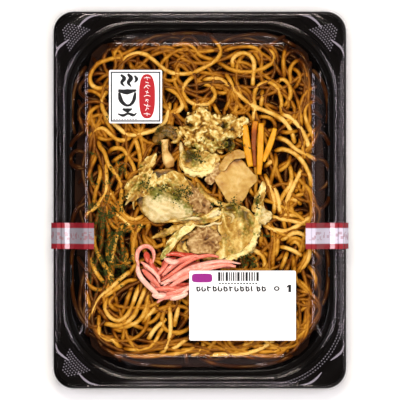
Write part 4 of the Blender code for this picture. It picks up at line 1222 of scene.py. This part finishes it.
bm = bmesh.new()
rod(bm, [(47.2, 45.0), (45.0, 37.6), (42.4, 30.4), (39.8, 24.2)], [1.4, 1.9, 1.9, 1.2], [1.2, 1.5, 1.5, 0.9], lift=0.8, sides=12, square=0.5)
carrot_four = make_piece("carrot_stick_4", bm, [carrot_flesh], ["carrot_4"])
tint_piece(carrot_four, 0.83, [(43, 30, 2, -0.15)], 0.16, 2.4)
bm = bmesh.new()
rod(bm, [(-1.4, 10.8), (0.2, 6.8), (3.0, 3.2), (7.4, 0.2), (11.6, -2.2), (17.4, -2.8)], [0.9, 1.6, 1.6, 1.7, 1.6, 0.8],
    [0.8, 1.3, 1.3, 1.3, 1.2, 0.7], lift=1.4, sides=12, step=0.8, rough=0.4)
sprout = make_piece("sprout_stem", bm, both_sides, ["sprout"])
tint_piece(sprout, 0.61, [(10, -1.4, 4, 0.14), (0, 7.4, 3, -0.1)], 0.16, 2.0, 0.1, [(1, 6, 3, 0.4)])

# %% Lower leaf with its ribs and curled rim
bm = bmesh.new()
leaf(bm, [(-12.6, -26), (-9.4, -21.4), (-2, -18.4), (6, -15.4), (12, -10.6), (22, -4.4), (31, -6.6), (35.4, -12), (35.4, -20), (32, -27.4),
          (25, -33.4), (15, -37), (4, -37.4), (-8, -36), (-14.4, -31)],
     lambda x, y, s, t: 0.6 + 0.6 * (1 - s), thick=0.8, rings=20, steps=120, middle=(8, -25), drape=0.6, ragged=1.0, crease=0.5, crease_size=6.4, edge=0.8,
     waves=13, seed=50.0, folds=(-35, 5.0, 1.2))
leaf(bm, [(12.6, -6.6), (18, -3.4), (24, -3.4), (30, -5.6), (34.4, -11), (34.4, -18), (32, -25.4), (26.6, -31.6), (18, -35.6), (10.6, -37.4),
          (9.6, -31.6), (12.4, -25), (11.6, -16)],
     lambda x, y, s, t: 1.6 + 1.7 * (1 - s * s), thick=0.8, rings=20, steps=110,
     drape=0.5, ragged=0.9, crease=0.3, crease_size=5.0, edge=0.7, waves=8, seed=51.0, folds=(-74, 7.0, 2.6))
for path in ([(20.6, -9.6), (22.6, -13.4), (25.0, -17.4), (27.0, -21.6)], [(15.4, -11.6), (13.8, -16.4), (13.6, -21.0), (15.6, -25.8)],
             [(30.6, -9.0), (30.8, -14.0), (29.4, -19.0)], [(24.6, -24.0), (20.4, -28.4), (13.4, -31.4)]):
    rod(bm, path, [0.3, 0.9, 1.0, 0.4], [0.3, 0.8, 0.8, 0.3], lift=2.6, sides=8, step=0.8, rough=0.8)
for path in ([(-11.4, -25.6), (-8.0, -23.4), (-4.2, -24.4)], [(-9.0, -25.8), (-9.6, -29.6), (-6.6, -33.0)], [(-2.6, -33.4), (3.6, -31.8), (9.6, -32.6)]):
    rod(bm, path, [0.4, 1.3, 0.5], [0.3, 0.9, 0.3], lift=2.0, sides=8, step=0.8, rough=0.9)
leaf(bm, [(32.4, -6.4), (33.8, 0.0), (36.4, 5.8), (39.6, 11.8), (41.4, 9), (41.0, 3.6), (40.4, -1.8), (39.0, -7.0), (36, -8.4)],
     lambda x, y, s, t: 1.6 + 0.9 * (1 - s), thick=0.8, rings=12, steps=64, ragged=0.9, crease=0.4, crease_size=3.4, edge=0.9, waves=5, seed=53.0, folds=(68, 3.0, 1.4))
lower_leaf = make_piece("lower_cabbage_leaf", bm, both_sides, ["lower_leaf"])
# the dark spots at (-8, -24) and (0, -19) are painted shadow under the folded leaf
tint_piece(lower_leaf, 0.56, [(20, -6, 4.0, -0.12), (28, -9, 4.0, -0.2), (16, -16, 3.4, -0.1), (24, -20, 2.0, -0.15), (22, -27, 4, 0.1), (-8, -24, 4.4, -0.4), (0, -19, 4, -0.3),
                              (-4, -32, 2.4, 0.16), (4, -32, 3, 0.2), (32, -12, 2.4, -0.12), (11, -22, 1.6, -0.3), (11, -30, 1.6, -0.3),
                              (14, -33, 4, 0.06), (39.4, 8, 3.2, 0.42), (37.4, 3, 2.0, 0.1)], 0.16, 2.2, 0.3,
           [(20, -6, 4.6, 0.6), (36, -1, 2.4, 0.6), (27, -9, 4, 0.5), (32, -14, 3.4, 0.45), (16, -24, 4, 0.3), (10, -12, 4, 0.25), (28, -20, 4, 0.35),
            (20, -32, 4, 0.3)])

bm = bmesh.new()
rod(bm, [(37.4, 0.6), (37.0, -5.4), (35.6, -11.4), (35.8, -17.6), (34.8, -23.8), (31.4, -29.8), (25.6, -33.8), (18.6, -36.4), (11.6, -38.4)],
    [0.8, 1.9, 2.0, 2.4, 2.3, 2.5, 2.0, 1.8, 0.7], [0.6, 1.2, 1.3, 1.4, 1.3, 1.4, 1.1, 1.0, 0.5], lift=1.4, sides=14, step=0.6, twist=30, rough=1.0)
curled_rim = make_piece("curled_leaf_rim", bm, both_sides, ["leaf_rim"])
tint_piece(curled_rim, 0.86, [(35, -8, 3, -0.06), (33, -26, 3, 0.08), (34.8, -16, 2.0, -0.15)], 0.2, 1.8, 0.1,
           [(34, -21, 2.4, 0.4), (36, -9, 2.4, 0.4), (28, -32, 2.4, 0.3)])

bm = bmesh.new()
leaf(bm, [(-13.6, -13.8), (-6, -10.6), (3, -8.0), (9, -5.6), (14, -3.4), (19, -1.4), (24.6, -2.8), (29, -6.8), (23, -9.6), (15, -10.8), (6, -14.4), (-3, -16.8)],
     lambda x, y, s, t: 1.7 + 1.2 * (1 - s * s), thick=0.8, rings=12, steps=90, drape=0.5, ragged=0.9, crease=0.4, crease_size=3.8, edge=0.6, waves=9, seed=55.0, folds=(14, 3.6, 1.4))
rod(bm, [(-4.0, -15.6), (1.0, -16.6), (5.0, -16.4), (8.8, -14.6), (12.6, -14.8), (15.2, -11.8)], [0.4, 0.7, 0.8, 0.8, 0.7, 0.3],
    [0.4, 0.7, 0.8, 0.8, 0.7, 0.3], lift=2.6, sides=8, step=0.7, finish=1, rough=0.5)
rod(bm, [(4.6, -11.4), (8.4, -9.2), (12.0, -8.0), (15.6, -8.4)], [0.6, 1.7, 1.7, 0.6], [0.5, 1.1, 1.1, 0.4], lift=2.6, sides=10, step=0.7, finish=1, rough=0.4)
rod(bm, [(-14.4, -12.8), (-6.0, -11.4), (1.0, -11.8), (3.6, -10.4)], [0.5, 1.0, 1.2, 0.5], [0.4, 0.8, 0.9, 0.4], lift=2.4, sides=10, step=0.7, finish=1, rough=0.7)
rod(bm, [(13.0, -7.2), (17.4, -8.4), (21.0, -10.6), (19.4, -15.0), (15.4, -19.0)], [0.5, 1.0, 1.1, 1.0, 0.4], [0.4, 0.8, 0.9, 0.7, 0.3], lift=2.8, sides=10, step=0.7, finish=1, rough=0.7)
fold = make_piece("folded_leaf", bm, both_sides, ["leaf_fold"])
tint_piece(fold, 0.56, [(19, -5, 4, -0.16), (25, -6, 3, -0.1), (8, -9, 4, 0.16), (-6, -12.8, 4, 0.12), (0, -13.6, 2.4, -0.25), (5, -13.0, 1.8, -0.2), (10, -9, 4, 0.3), (4, -17, 4, 0.3), (11, -15, 3, 0.3)], 0.2, 1.6, 0.35,
           [(19, -4.6, 4.6, 0.55), (2, -13, 3, 0.4), (-9, -13, 3, 0.4), (26, -6, 3, 0.4)])

# %% Leaf strips
bm = bmesh.new()
leaf(bm, [(-2.4, -15.8), (-6.4, -14.8), (-12.4, -18.0), (-17.6, -22.4), (-21.6, -28.4), (-25.0, -36.8), (-21.4, -36.0), (-18.0, -31.6), (-14.4, -27.4),
          (-10.4, -22.6), (-5.4, -19.4)],
     lambda x, y, s, t: 2.1 + 0.8 * (1 - s), thick=0.9, rings=12, steps=90, drape=0.7, ragged=0.9, crease=0.35, crease_size=3.4, edge=0.8, waves=9, seed=57.0, folds=(42, 3.0, 1.2))
strip = make_piece("yellow_leaf_strip", bm, both_sides, ["leaf_strip"])
tint_piece(strip, 0.9, [(-15, -22.6, 2.4, -0.1), (-21, -31, 3.0, -0.12), (-19.6, -28, 1.6, -0.15)], 0.2, 1.6, 0.42,
           [(-21, -30, 3.4, 0.45), (-14, -22, 3, 0.35), (-24, -35, 3, 0.4)])
bm = bmesh.new()
rod(bm, [(-30.4, -23.8), (-24, -21.6), (-17, -18.6), (-9.4, -15.2)], [0.6, 2.2, 2.2, 0.8], [0.5, 1.1, 1.1, 0.5], lift=0.6, sides=12, step=0.7, rough=0.6)
stem = make_piece("olive_leaf_strip", bm, both_sides, ["leaf_stem"])
tint_piece(stem, 0.52, [(-17, -19, 3, 0.12)], 0.26, 2.0, 0.1, [(-22, -21, 4, 0.3)])

# %% [markdown]
# ## Red pickled ginger
# Thin threads of pickled ginger, about two millimetres wide, dropped in a tuft
# that fans out under the price label. They are laid the way the noodles were,
# on a map that now holds the toppings too, and each thread gets its own pink.

# %% Map of the heap with its toppings
pile = heap.copy()
for piece in list(bpy.context.scene.objects):
    if piece.get("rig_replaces") and piece.name not in ("black_tray", "clear_lid", "noodle_strands", "sauce_bed"):
        co = np.empty(len(piece.data.vertices) * 3)
        piece.data.vertices.foreach_get("co", co)
        co = co.reshape(-1, 3) / MM
        i, j = cells_at(co, np.array([(a, b) for a in (-1, 0, 1) for b in (-1, 0, 1)]))
        np.maximum.at(pile, (i, j), np.repeat(co[:, 2:], 9, axis=1))
print("pile top", round(float(pile.max()), 1))

# %% Ginger threads
GINGER = [
    # tone, then the thread's points
    (0.48, "-35.4,-41 -31.4,-46 -27.6,-51 -24.6,-57"), (0.40, "-33.4,-38 -29,-43 -24,-47 -19.6,-52"),
    (0.55, "-27,-42.4 -22,-46.4 -17,-50 -11,-52"), (0.42, "-20,-40.6 -14,-42.4 -7,-41 0,-39"),
    (0.58, "-31,-51.4 -27,-55 -22.6,-58.4 -17.6,-60.4"), (0.50, "-24,-49.4 -18,-54 -12,-57 -6,-58"),
    (0.30, "-34.2,-32.4 -33.2,-35.6 -32.2,-39.4"), (0.22, "-21.4,-34.8 -16.4,-33.8 -9.3,-34.6 -4.6,-34.8 2,-36.4"),
    (0.25, "-22.7,-54.6 -14,-53.4 -6.2,-53.2 2,-51"), (0.28, "-18,-48.6 -10,-44.6 -2,-41.4 8,-40.4"),
    (0.35, "-31,-36.6 -30.2,-40.6 -27.4,-44.6 -24.6,-49"), (0.30, "-24,-41 -20,-38.4 -15,-36.8"),
    (0.55, "-36.2,-43.5 -32.2,-47.4 -28.3,-51.4 -24.3,-56.1"), (0.75, "-37,-38.8 -33.8,-41.1 -29.9,-44.3 -26.7,-47.4 -25,-52"),
    (0.45, "-28,-56 -21,-55.4 -13,-55.8 -6,-56.6"), (0.62, "-24.3,-60.1 -18.8,-58.5 -12.5,-56.9 -5,-54.6 4,-52.6"),
    (0.70, "-26.9,-64.6 -23.5,-61.7 -18.8,-60.9 -14.9,-60.1 -9,-58.6"), (0.85, "-18.8,-62.2 -13,-60.4 -7.4,-58.2"),
    (0.50, "-26.7,-47.4 -23.4,-43.4 -20.8,-39.6 -18.8,-36.6"), (0.55, "-22,-57.7 -14,-51.4 -6.2,-47.4 4.1,-43.5 12.8,-41.9 19.1,-42.7"),
    (0.72, "-24.6,-52.6 -18,-49.8 -10.4,-45.4 -2,-43 7,-42 14,-41.4"), (0.80, "-22.7,-53.8 -14.8,-47.4 -6.2,-42.7 4.9,-39.5 15.2,-38.4 25.6,-39.9"),
    (0.66, "-21,-56 -12,-50 -3,-45.6 6,-42.6 16,-40.6 22.6,-41.8"), (0.60, "-23.5,-47.4 -18.8,-42.7 -13.3,-38.6 -6.2,-36.2 3,-35.2"),
    (0.42, "-24.3,-50.6 -17.2,-45.9 -9.3,-39.9 -1.4,-36.0 6.5,-34.8 11.8,-35.8"), (0.78, "-22.4,-37 -17.2,-38.9 -12.5,-38.2"),
    (0.88, "-38.6,-38.8 -38.8,-44.3 -36.6,-49.2 -32.2,-54 -27.5,-58.2 -24.3,-60.4"),
    (0.72, "-38.4,-41.6 -39.5,-36.4 -38.6,-31.8 -35.6,-29.3 -32.2,-29.3 -29.5,-31.8 -28.8,-35.6 -29.6,-39.6"),
    (0.84, "-30,-59.4 -26,-60.2 -21,-59.4"), (0.90, "-12,-59.4 -8,-55.6 -3,-52.6"),
]


def settle_on(field, line, radius, limit):
    """Height of a thread laid on a map, which it is then added to."""
    cells, rise = print_of(radius)
    i, j = cells_at(line, cells)
    level = np.minimum((field[i, j] + rise * 0.7).max(axis=1), limit)
    for k in range(1, len(level)):
        level[k] = max(level[k], level[k - 1] - 0.35)
    for k in range(len(level) - 2, -1, -1):
        level[k] = max(level[k], level[k + 1] - 0.35)
    for _ in range(6):
        level[1:-1] = 0.25 * level[:-2] + 0.5 * level[1:-1] + 0.25 * level[2:]
    np.maximum.at(field, (i, j), level[:, None] + rise * 0.7)
    return level


bm = bmesh.new()
tones = []
for n, (tone, text) in enumerate(GINGER):
    path = [tuple(map(float, pair.split(","))) for pair in text.split()]
    line = smooth_line(path, 0.9)
    wide = 1.75 + 0.35 * math.sin(n * 2.3)
    level = settle_on(pile, line, wide * 0.9, CROWN_LIMIT - 1.0)
    taper = [0.35, 0.9, 1.0, 1.0, 0.95, 0.4]
    before = len(bm.verts)
    rod(bm, [(x, y, z) for (x, y), z in zip(line, level)], [wide * t for t in taper], [wide * 0.55 * t for t in taper],
        sides=8, step=1.0, square=0.8, twist=60 * math.sin(n * 1.7), settle_in=False)
    tones += [tone] * (len(bm.verts) - before)
ginger = make_piece("red_ginger_threads", bm, [ginger_flesh], ["ginger"])
tint_piece(ginger, 0.0, [], 0.14, 2.0)
values = np.array([d.value for d in ginger.data.attributes["tint"].data]) + np.array(tones) + 0.14
ginger.data.attributes["tint"].data.foreach_set("value", values.astype(np.float32))

# %% [markdown]
# ## Green seaweed powder
# A pinch of dried seaweed was thrown from the left. Each flake is a tiny flat
# frustum that lies on whatever noodle is under it.

# %% Seaweed flakes
rng = np.random.default_rng(5)
DROPS = [
    # middle, reach and number of pinches; each pinch is a score of flakes stuck together
    (-54.5, -26, 6.5, 11, 74), (-61, -2, 5, 12, 24), (-60, -42, 6, 7, 26), (-49, -36, 5, 10, 16), (33, -39, 4, 3, 9),
    (-50, 8, 8, 10, 8), (-23, 8, 8, 2.5, 8), (-11, 3, 4, 4, 5), (14, 35, 6, 2, 4), (19, -5, 5, 2, 6), (36, -1, 1.2, 3, 2), (-22, 42, 4, 3, 3),
    (-2, 27, 4, 3, 4), (-58, 30, 8, 20, 5), (40, -60, 14, 20, 4)]
bm = bmesh.new()
for x0, y0, sx, sy, count in DROPS:
    for px, py in zip(rng.normal(x0, sx, count), rng.normal(y0, sy, count)):
        turn, long, thin = rng.uniform(0, math.pi), rng.uniform(1.0, 2.8), rng.uniform(0.4, 1.1)
        pinch = bmesh.new()
        for u, v in rng.normal(0, 1, (int(rng.uniform(8, 30)), 2)):
            x = px + u * long * math.cos(turn) - v * thin * math.sin(turn)
            y = py + u * long * math.sin(turn) + v * thin * math.cos(turn)
            if wall_room(x, y) < 10:
                continue
            size = rng.uniform(0.28, 0.75)
            z = float(read_map(pile, x, y))
            dx, dy = (float(read_map(pile, x + 0.6, y)) - z) / 0.6, (float(read_map(pile, x, y + 0.6)) - z) / 0.6
            lie = Vector((-max(-1.5, min(1.5, dx)), -max(-1.5, min(1.5, dy)), 1.0)).to_track_quat("Z", "X").to_matrix().to_4x4()
            matrix = Matrix.Translation((x * MM, y * MM, (min(z, CROWN_LIMIT) + 0.05) * MM)) @ lie
            matrix = matrix @ Matrix.Rotation(rng.uniform(0, 6.28), 4, "Z") @ Matrix.Diagonal((1.0, rng.uniform(0.35, 1.0), 1.0, 1.0))
            bmesh.ops.create_cone(pinch, cap_ends=True, segments=4, radius1=size * MM, radius2=size * 0.6 * MM, depth=0.2 * MM, matrix=matrix)
        pour(pinch, bm)
print("flakes", len(bm.verts) // 8)
flakes = make_piece("seaweed_flakes", bm, [seaweed], smooth_angle=30)
tint_piece(flakes, 0.45, [], 0.5, 1.2)

# %% [markdown]
# ## Labels and tapes
# Two paper labels lie on the lid. Their print is plain fields of colour: a
# frame, a red oval and a brush drawing of a bowl on one, a bar, stripes and
# dashes on the other. Each field is a very thin slab on the paper. The tapes
# are clear film printed with a red band along both edges.

# %% Label and tape materials
paper, tree, out = new_material("coated_label_paper")
# gives the eye a clean white with the faintest tooth
place = add(tree, "TexCoord")
tooth = add(tree, "TexNoise", {"Vector": place.outputs["Object"], "Scale": 1.0 / (0.8 * MM), "Detail": 2.0})
tooth_bump = add(tree, "Bump", {"Height": tooth.outputs["Fac"], "Strength": 0.1, "Distance": 0.05 * MM})
body = add(tree, "BsdfPrincipled", {"Base Color": paint("#F6F6F6"), "Roughness": 0.6, "Normal": tooth_bump.outputs[0]})
tree.links.new(body.outputs[0], out.inputs["Surface"])


def printed(name, hex_code, rough=0.5):
    """Printing ink on paper: a flat colour, broken a little where the paper shows through."""
    finish, tree, out = new_material(name)
    place = add(tree, "TexCoord")
    grain = add(tree, "TexNoise", {"Vector": place.outputs["Object"], "Scale": 1.0 / (0.6 * MM), "Detail": 2.0})
    cover = add(tree, "MapRange", {"Value": grain.outputs["Fac"], "From Min": 0.3, "From Max": 0.7, "To Min": 0.985, "To Max": 1.0})
    colour = add(tree, "Mix", {0: cover.outputs[0], 6: paint("#FFFFFF"), 7: paint(hex_code)}, data_type="RGBA")
    body = add(tree, "BsdfPrincipled", {"Base Color": colour.outputs[2], "Roughness": rough, "Specular IOR Level": 0.08})
    tree.links.new(body.outputs[0], out.inputs["Surface"])
    return finish


black_ink = printed("black_ink", "#0C0D10")
grey_ink = printed("grey_ink", "#31363C")
red_ink = printed("red_ink", "#A8141E")
pink_ink = printed("magenta_ink", "#8E1A7C")
for label in ("title_label", "price_label"):
    frame["nodes"][label].data.materials.clear()
    frame["nodes"][label].data.materials.append(paper)

tape_film, tree, out = new_material("printed_polypropylene_tape")
# gives the eye a milky film with red bands along both edges and broken red marks between them, paler on the right tape
# as painted light
place = add(tree, "TexCoord")
split = add(tree, "SeparateXYZ", {"Vector": place.outputs["Object"]})
TAPE_MIDDLE = (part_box("tape_left")[0].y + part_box("tape_left")[1].y) / 2
across = add(tree, "Math", {0: split.outputs["Y"], 1: -TAPE_MIDDLE}, operation="ADD")
from_middle = add(tree, "Math", {0: across.outputs[0]}, operation="ABSOLUTE")
band = add(tree, "MapRange", {"Value": from_middle.outputs[0], "From Min": 4.6 * MM, "From Max": 5.2 * MM})
centre = add(tree, "MapRange", {"Value": from_middle.outputs[0], "From Min": 2.2 * MM, "From Max": 2.9 * MM, "To Min": 1.0, "To Max": 0.0})
marks = add(tree, "TexVoronoi", {"Vector": place.outputs["Object"], "Scale": 1.0 / (2.6 * MM)}, feature="F1", distance="CHEBYCHEV")
dashes = add(tree, "Math", {0: marks.outputs["Distance"], 1: 0.36}, operation="LESS_THAN")
marked = add(tree, "Math", {0: dashes.outputs[0], 1: centre.outputs[0]}, operation="MULTIPLY")
marked = add(tree, "Math", {0: marked.outputs[0], 1: 0.45}, operation="MULTIPLY")
inked = add(tree, "Math", {0: band.outputs[0], 1: marked.outputs[0]}, operation="MAXIMUM")
# the right-hand tape is mixed paler than the left: painted light from the right side
side = add(tree, "MapRange", {"Value": split.outputs["X"], "From Min": -20 * MM, "From Max": 20 * MM})
milky = add(tree, "Mix", {0: side.outputs[0], 6: paint("#8F8A92"), 7: paint("#CFC8D8")}, data_type="RGBA")
colour = add(tree, "Mix", {0: inked.outputs[0], 6: milky.outputs[2], 7: paint("#8A1420")}, data_type="RGBA")
body = add(tree, "BsdfPrincipled", {"Base Color": colour.outputs[2], "Roughness": 0.22, "Coat Weight": 0.5, "Coat Roughness": 0.08})
tree.links.new(body.outputs[0], out.inputs["Surface"])
for tape in ("tape_left", "tape_right"):
    frame["nodes"][tape].data.materials.clear()
    frame["nodes"][tape].data.materials.append(tape_film)

# %% Print on the labels
PAPER_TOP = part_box("title_label")[1].z / MM


def field(bm, points, finish):
    """A thin slab of ink with the given outline; each later ink lies a hair higher."""
    rings = [[(x * MM, y * MM, z * MM) for x, y in points] for z in (PAPER_TOP - 0.02, PAPER_TOP + 0.03 + 0.015 * finish)]
    small = bmesh.new()
    bmesh.ops.recalc_face_normals(small, faces=loft(small, rings, finish=finish))
    pour(small, bm)


def bar(bm, x0, y0, x1, y1, finish):
    field(bm, [(x0, y0), (x1, y0), (x1, y1), (x0, y1)], finish)


def oval(bm, x, y, reach_x, reach_y, finish, power=1.0, count=40):
    """An ellipse; power below 1 squares it off."""
    turns = [2 * math.pi * k / count for k in range(count)]
    field(bm, [(x + reach_x * math.copysign(abs(math.cos(t)) ** power, math.cos(t)),
                y + reach_y * math.copysign(abs(math.sin(t)) ** power, math.sin(t))) for t in turns], finish)


def stroke(bm, points, widths, finish):
    """A brush stroke: wide where the brush was pressed, thin where it lifted."""
    line = smooth_line(points, 0.5)
    wide = np.interp(np.linspace(0, 1, len(line)), np.linspace(0, 1, len(widths)), widths) / 2
    along = np.gradient(line, axis=0)
    along /= np.linalg.norm(along, axis=1)[:, None]
    side = np.stack([-along[:, 1], along[:, 0]], axis=1) * wide[:, None]
    field(bm, [tuple(p) for p in np.vstack([line - side, (line + side)[::-1]])], finish)


bm = bmesh.new()
low, high = (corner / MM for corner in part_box("title_label"))
for x0, y0, x1, y1 in ((1.0, 1.0, -1.0, 1.9), (1.0, -1.9, -1.0, -1.0), (1.0, 1.9, 1.9, -1.9), (-1.9, 1.9, -1.0, -1.9)):
    bar(bm, (low.x if x0 > 0 else high.x) + x0, (low.y if y0 > 0 else high.y) + y0,
        (low.x if x1 > 0 else high.x) + x1, (low.y if y1 > 0 else high.y) + y1, 1)
oval(bm, -33.1, 65.0, 5.0, 13.9, 2, 0.75)
for n, y in enumerate((76.4, 73.6, 70.8, 67.6, 65.0, 62.2, 59.2, 56.6, 53.8)):
    lean, reach = 0.7 * math.sin(n * 2.4), 1.5 + 0.5 * math.cos(n * 3.1)
    stroke(bm, [(-33.1 - reach, y + lean), (-33.0, y + 0.5 - lean), (-33.0 + reach, y - 0.6 * lean)], [0.3, 0.42, 0.26], 3)
    if n % 3 != 1:
        stroke(bm, [(-33.4 + lean, y + 1.0), (-32.8 - lean, y - 1.1)], [0.4, 0.24], 3)
stroke(bm, [(-49.5, 78.6), (-47.4, 76.2), (-49.0, 73.6), (-47.2, 71.2)], [1.2, 2.6, 2.0, 0.6], 0)
stroke(bm, [(-45.2, 79.0), (-43.2, 76.4), (-44.8, 73.6), (-43.0, 71.0)], [1.3, 2.9, 2.3, 0.6], 0)
stroke(bm, [(-41.0, 78.0), (-39.6, 75.8), (-40.9, 73.6)], [1.0, 2.2, 0.6], 0)
stroke(bm, [(-51.2, 68.6), (-46.0, 67.8), (-39.8, 68.8)], [1.7, 3.5, 1.2], 0)
stroke(bm, [(-50.6, 67.4), (-49.4, 62.4), (-46.6, 59.6), (-44.4, 59.2)], [1.4, 2.8, 2.2, 1.2], 0)
stroke(bm, [(-40.4, 67.6), (-41.4, 62.6), (-43.4, 59.8), (-45.4, 59.2)], [1.2, 2.3, 2.0, 1.3], 0)
stroke(bm, [(-48.4, 57.0), (-45.4, 56.2), (-42.4, 57.2)], [1.2, 2.9, 0.7], 0)
stroke(bm, [(-51.4, 54.0), (-48.0, 53.0), (-45.0, 54.2), (-41.6, 53.2), (-39.6, 54.6)], [0.7, 1.9, 1.4, 2.0, 0.6], 0)
for n in range(9):
    bar(bm, -54.2 + n * 1.7, 50.3, -53.2 + n * 1.7, 50.9, 1)
title_print = make_piece("title_print", bm, [black_ink, grey_ink, red_ink, paper], smooth_angle=20)

bm = bmesh.new()
oval(bm, 1.4, -48.9, 6.4, 2.8, 0, 0.45)
rng = np.random.default_rng(3)
x = 11.4
while x < 36.0:
    wide = float(rng.choice([0.65, 0.9, 1.5]))
    bar(bm, x, -50.8, x + wide, -45.2, 1)
    x += wide + float(rng.choice([0.5, 0.65, 0.95]))
for n in range(13):
    bar(bm, 12.0 + n * 1.9, -52.8, 13.1 + n * 1.9, -51.9, 1)
for n in range(13):
    left, tall = -2.2 + n * 3.42, -54.0 + rng.uniform(-0.4, 0.1)
    stroke(bm, [(left + 0.4, tall), (left + 0.3 + rng.uniform(-0.2, 0.4), -55.8), (left + 0.8, -57.3)], [0.8, 1.0, 0.9], 1)
    if n % 3 != 1:
        stroke(bm, [(left, -54.9), (left + 2.3, -54.7 + rng.uniform(-0.3, 0.3))], [0.75, 0.75], 1)
    if n % 4 != 2:
        stroke(bm, [(left + 1.7, -55.3), (left + 2.3, -56.3), (left + 1.0, -57.3)], [0.8, 1.0, 0.7], 1)
oval(bm, 48.2, -55.5, 1.8, 1.5, 1)
oval(bm, 48.2, -55.5, 0.9, 0.7, 3)
bar(bm, 55.5, -57.8, 57.2, -53.1, 1)
field(bm, [(55.6, -53.2), (54.4, -54.3), (54.4, -55.2), (55.6, -54.5)], 1)
price_print = make_piece("price_print", bm, [pink_ink, black_ink, grey_ink, paper], smooth_angle=20)

# %% [markdown]
# ## Grip relief on the lid
# The lid's rim has rows of tiny pyramids that keep stacked lids from sticking,
# low oval bumps that hold a second pack, and ribbed corner tabs for the thumb.
# They are small, so each is a cone with four sides or a squashed ball.

# %% Rim pyramids and bumps
relief_clear, tree, out = new_material("clear_polystyrene_relief_painted_sparkle")
# gives the eye the pale sparkle of fine embossing on clear sheet: a pale grey mixed into the clear plastic, partly the
# frosting of the embossing and partly painted highlight
window = add(tree, "BsdfTransparent", {"Color": paint("#FDFDFD")})
glint = add(tree, "BsdfPrincipled", {"Base Color": paint("#B4ACB8"), "Roughness": 0.18, "Coat Weight": 0.4})
relief_mix = add(tree, "MixShader", {0: 0.4, 1: window.outputs[0], 2: glint.outputs[0]})
tree.links.new(relief_mix.outputs[0], out.inputs["Surface"])
relief_clear.surface_render_method = "BLENDED"

RIM_LEVEL = 27.05
ROWS = [[(89.0, -84 + n * 1.9, 0.0) for n in range(89)], [(87.6, -82 + n * 3.8, 0.0) for n in range(43)]]
ROWS += [[(-44 + n * 1.9, -115.0, 0.0) for n in range(55)], [(-43 + n * 3.8, -116.6, 0.0) for n in range(27)]]
ROWS += [[(-31 + n * 1.9, 115.6, 0.0) for n in range(27)]]
for row, reach in enumerate((47.4, 49.2)):
    turns = [math.radians(2 + n * 2.3 + row * 1.15) for n in range(38)]
    ROWS.append([(42.3 + reach * math.cos(a), -68.9 - reach * math.sin(a), -a) for a in turns])
for side, end in ((-1, 1), (-1, -1), (1, 1)):
    # the ribbed thumb patch on a corner tab, a fan that is widest beside the bead
    for row in range(8):
        reach = 47.2 + 1.6 * row
        half_fan = math.radians(12.0 - 1.25 * row)
        count = int(2 * half_fan * reach / 1.6)
        turns = [math.radians(43.5) - half_fan + 2 * half_fan * (n + 0.5) / count for n in range(count)]
        ROWS.append([(side * (42.3 + reach * math.cos(a)), end * (68.9 + reach * math.sin(a)), side * end * a) for a in turns])
bm = bmesh.new()
for places in ROWS:
    row_bm = bmesh.new()
    for x, y, turn in places:
        matrix = Matrix.Translation((x * MM, y * MM, (RIM_LEVEL + 0.22) * MM)) @ Matrix.Rotation(turn, 4, "Z")
        bmesh.ops.create_cone(row_bm, cap_ends=True, segments=4, radius1=0.52 * MM, radius2=0.06 * MM, depth=0.44 * MM, matrix=matrix)
    pour(row_bm, bm)
# the steps where the rim drops to the corner tabs, each a soft round shoulder in the pale relief plastic: a painted
# highlight along the step
for side, end in ((-1, 1), (-1, -1), (1, 1), (1, -1)):
    for path in ([(76.9, 108.6), (73.4, 112.6), (69.0, 115.6), (63.0, 116.8)], [(82.4, 101.2), (86.4, 98.4), (89.6, 95.2), (91.2, 90.0)]):
        line = smooth_line([(side * x, end * y) for x, y in path], 1.0)
        along = np.gradient(line, axis=0)
        along /= np.linalg.norm(along, axis=1)[:, None]
        fat = 0.75 * np.sin(np.linspace(0.3, math.pi - 0.1, len(line)))
        rings = [[((x - v * w * math.cos(t)) * MM, (y + u * w * math.cos(t)) * MM, (RIM_LEVEL + 0.1 + 0.6 * w * math.sin(t)) * MM)
                  for t in [2 * math.pi * k / 10 for k in range(10)]] for (x, y), (u, v), w in zip(line, along, fat)]
        step_bm = bmesh.new()
        bmesh.ops.recalc_face_normals(step_bm, faces=loft(step_bm, rings))
        pour(step_bm, bm)
rim_dots = make_piece("lid_rim_pyramids", bm, [relief_clear], smooth_angle=20)

bm = bmesh.new()
for x, y, turn in ((-44.4, 102.4, 0), (43.1, 102.4, 0), (-35.5, -103.2, 0), (38, -103.0, 0), (75.6, 77.6, 90), (-76.4, 76.4, 90),
                   (-74.6, -82.0, 70), (74.6, -81.6, -70)):
    matrix = Matrix.Translation((x * MM, y * MM, 42.2 * MM)) @ Matrix.Rotation(math.radians(turn), 4, "Z") @ Matrix.Diagonal((4.8, 1.5, 0.9, 1.0))
    bmesh.ops.create_uvsphere(bm, u_segments=24, v_segments=12, radius=MM, matrix=matrix)
bumps = make_piece("lid_stacking_bumps", bm, [lid_clear])
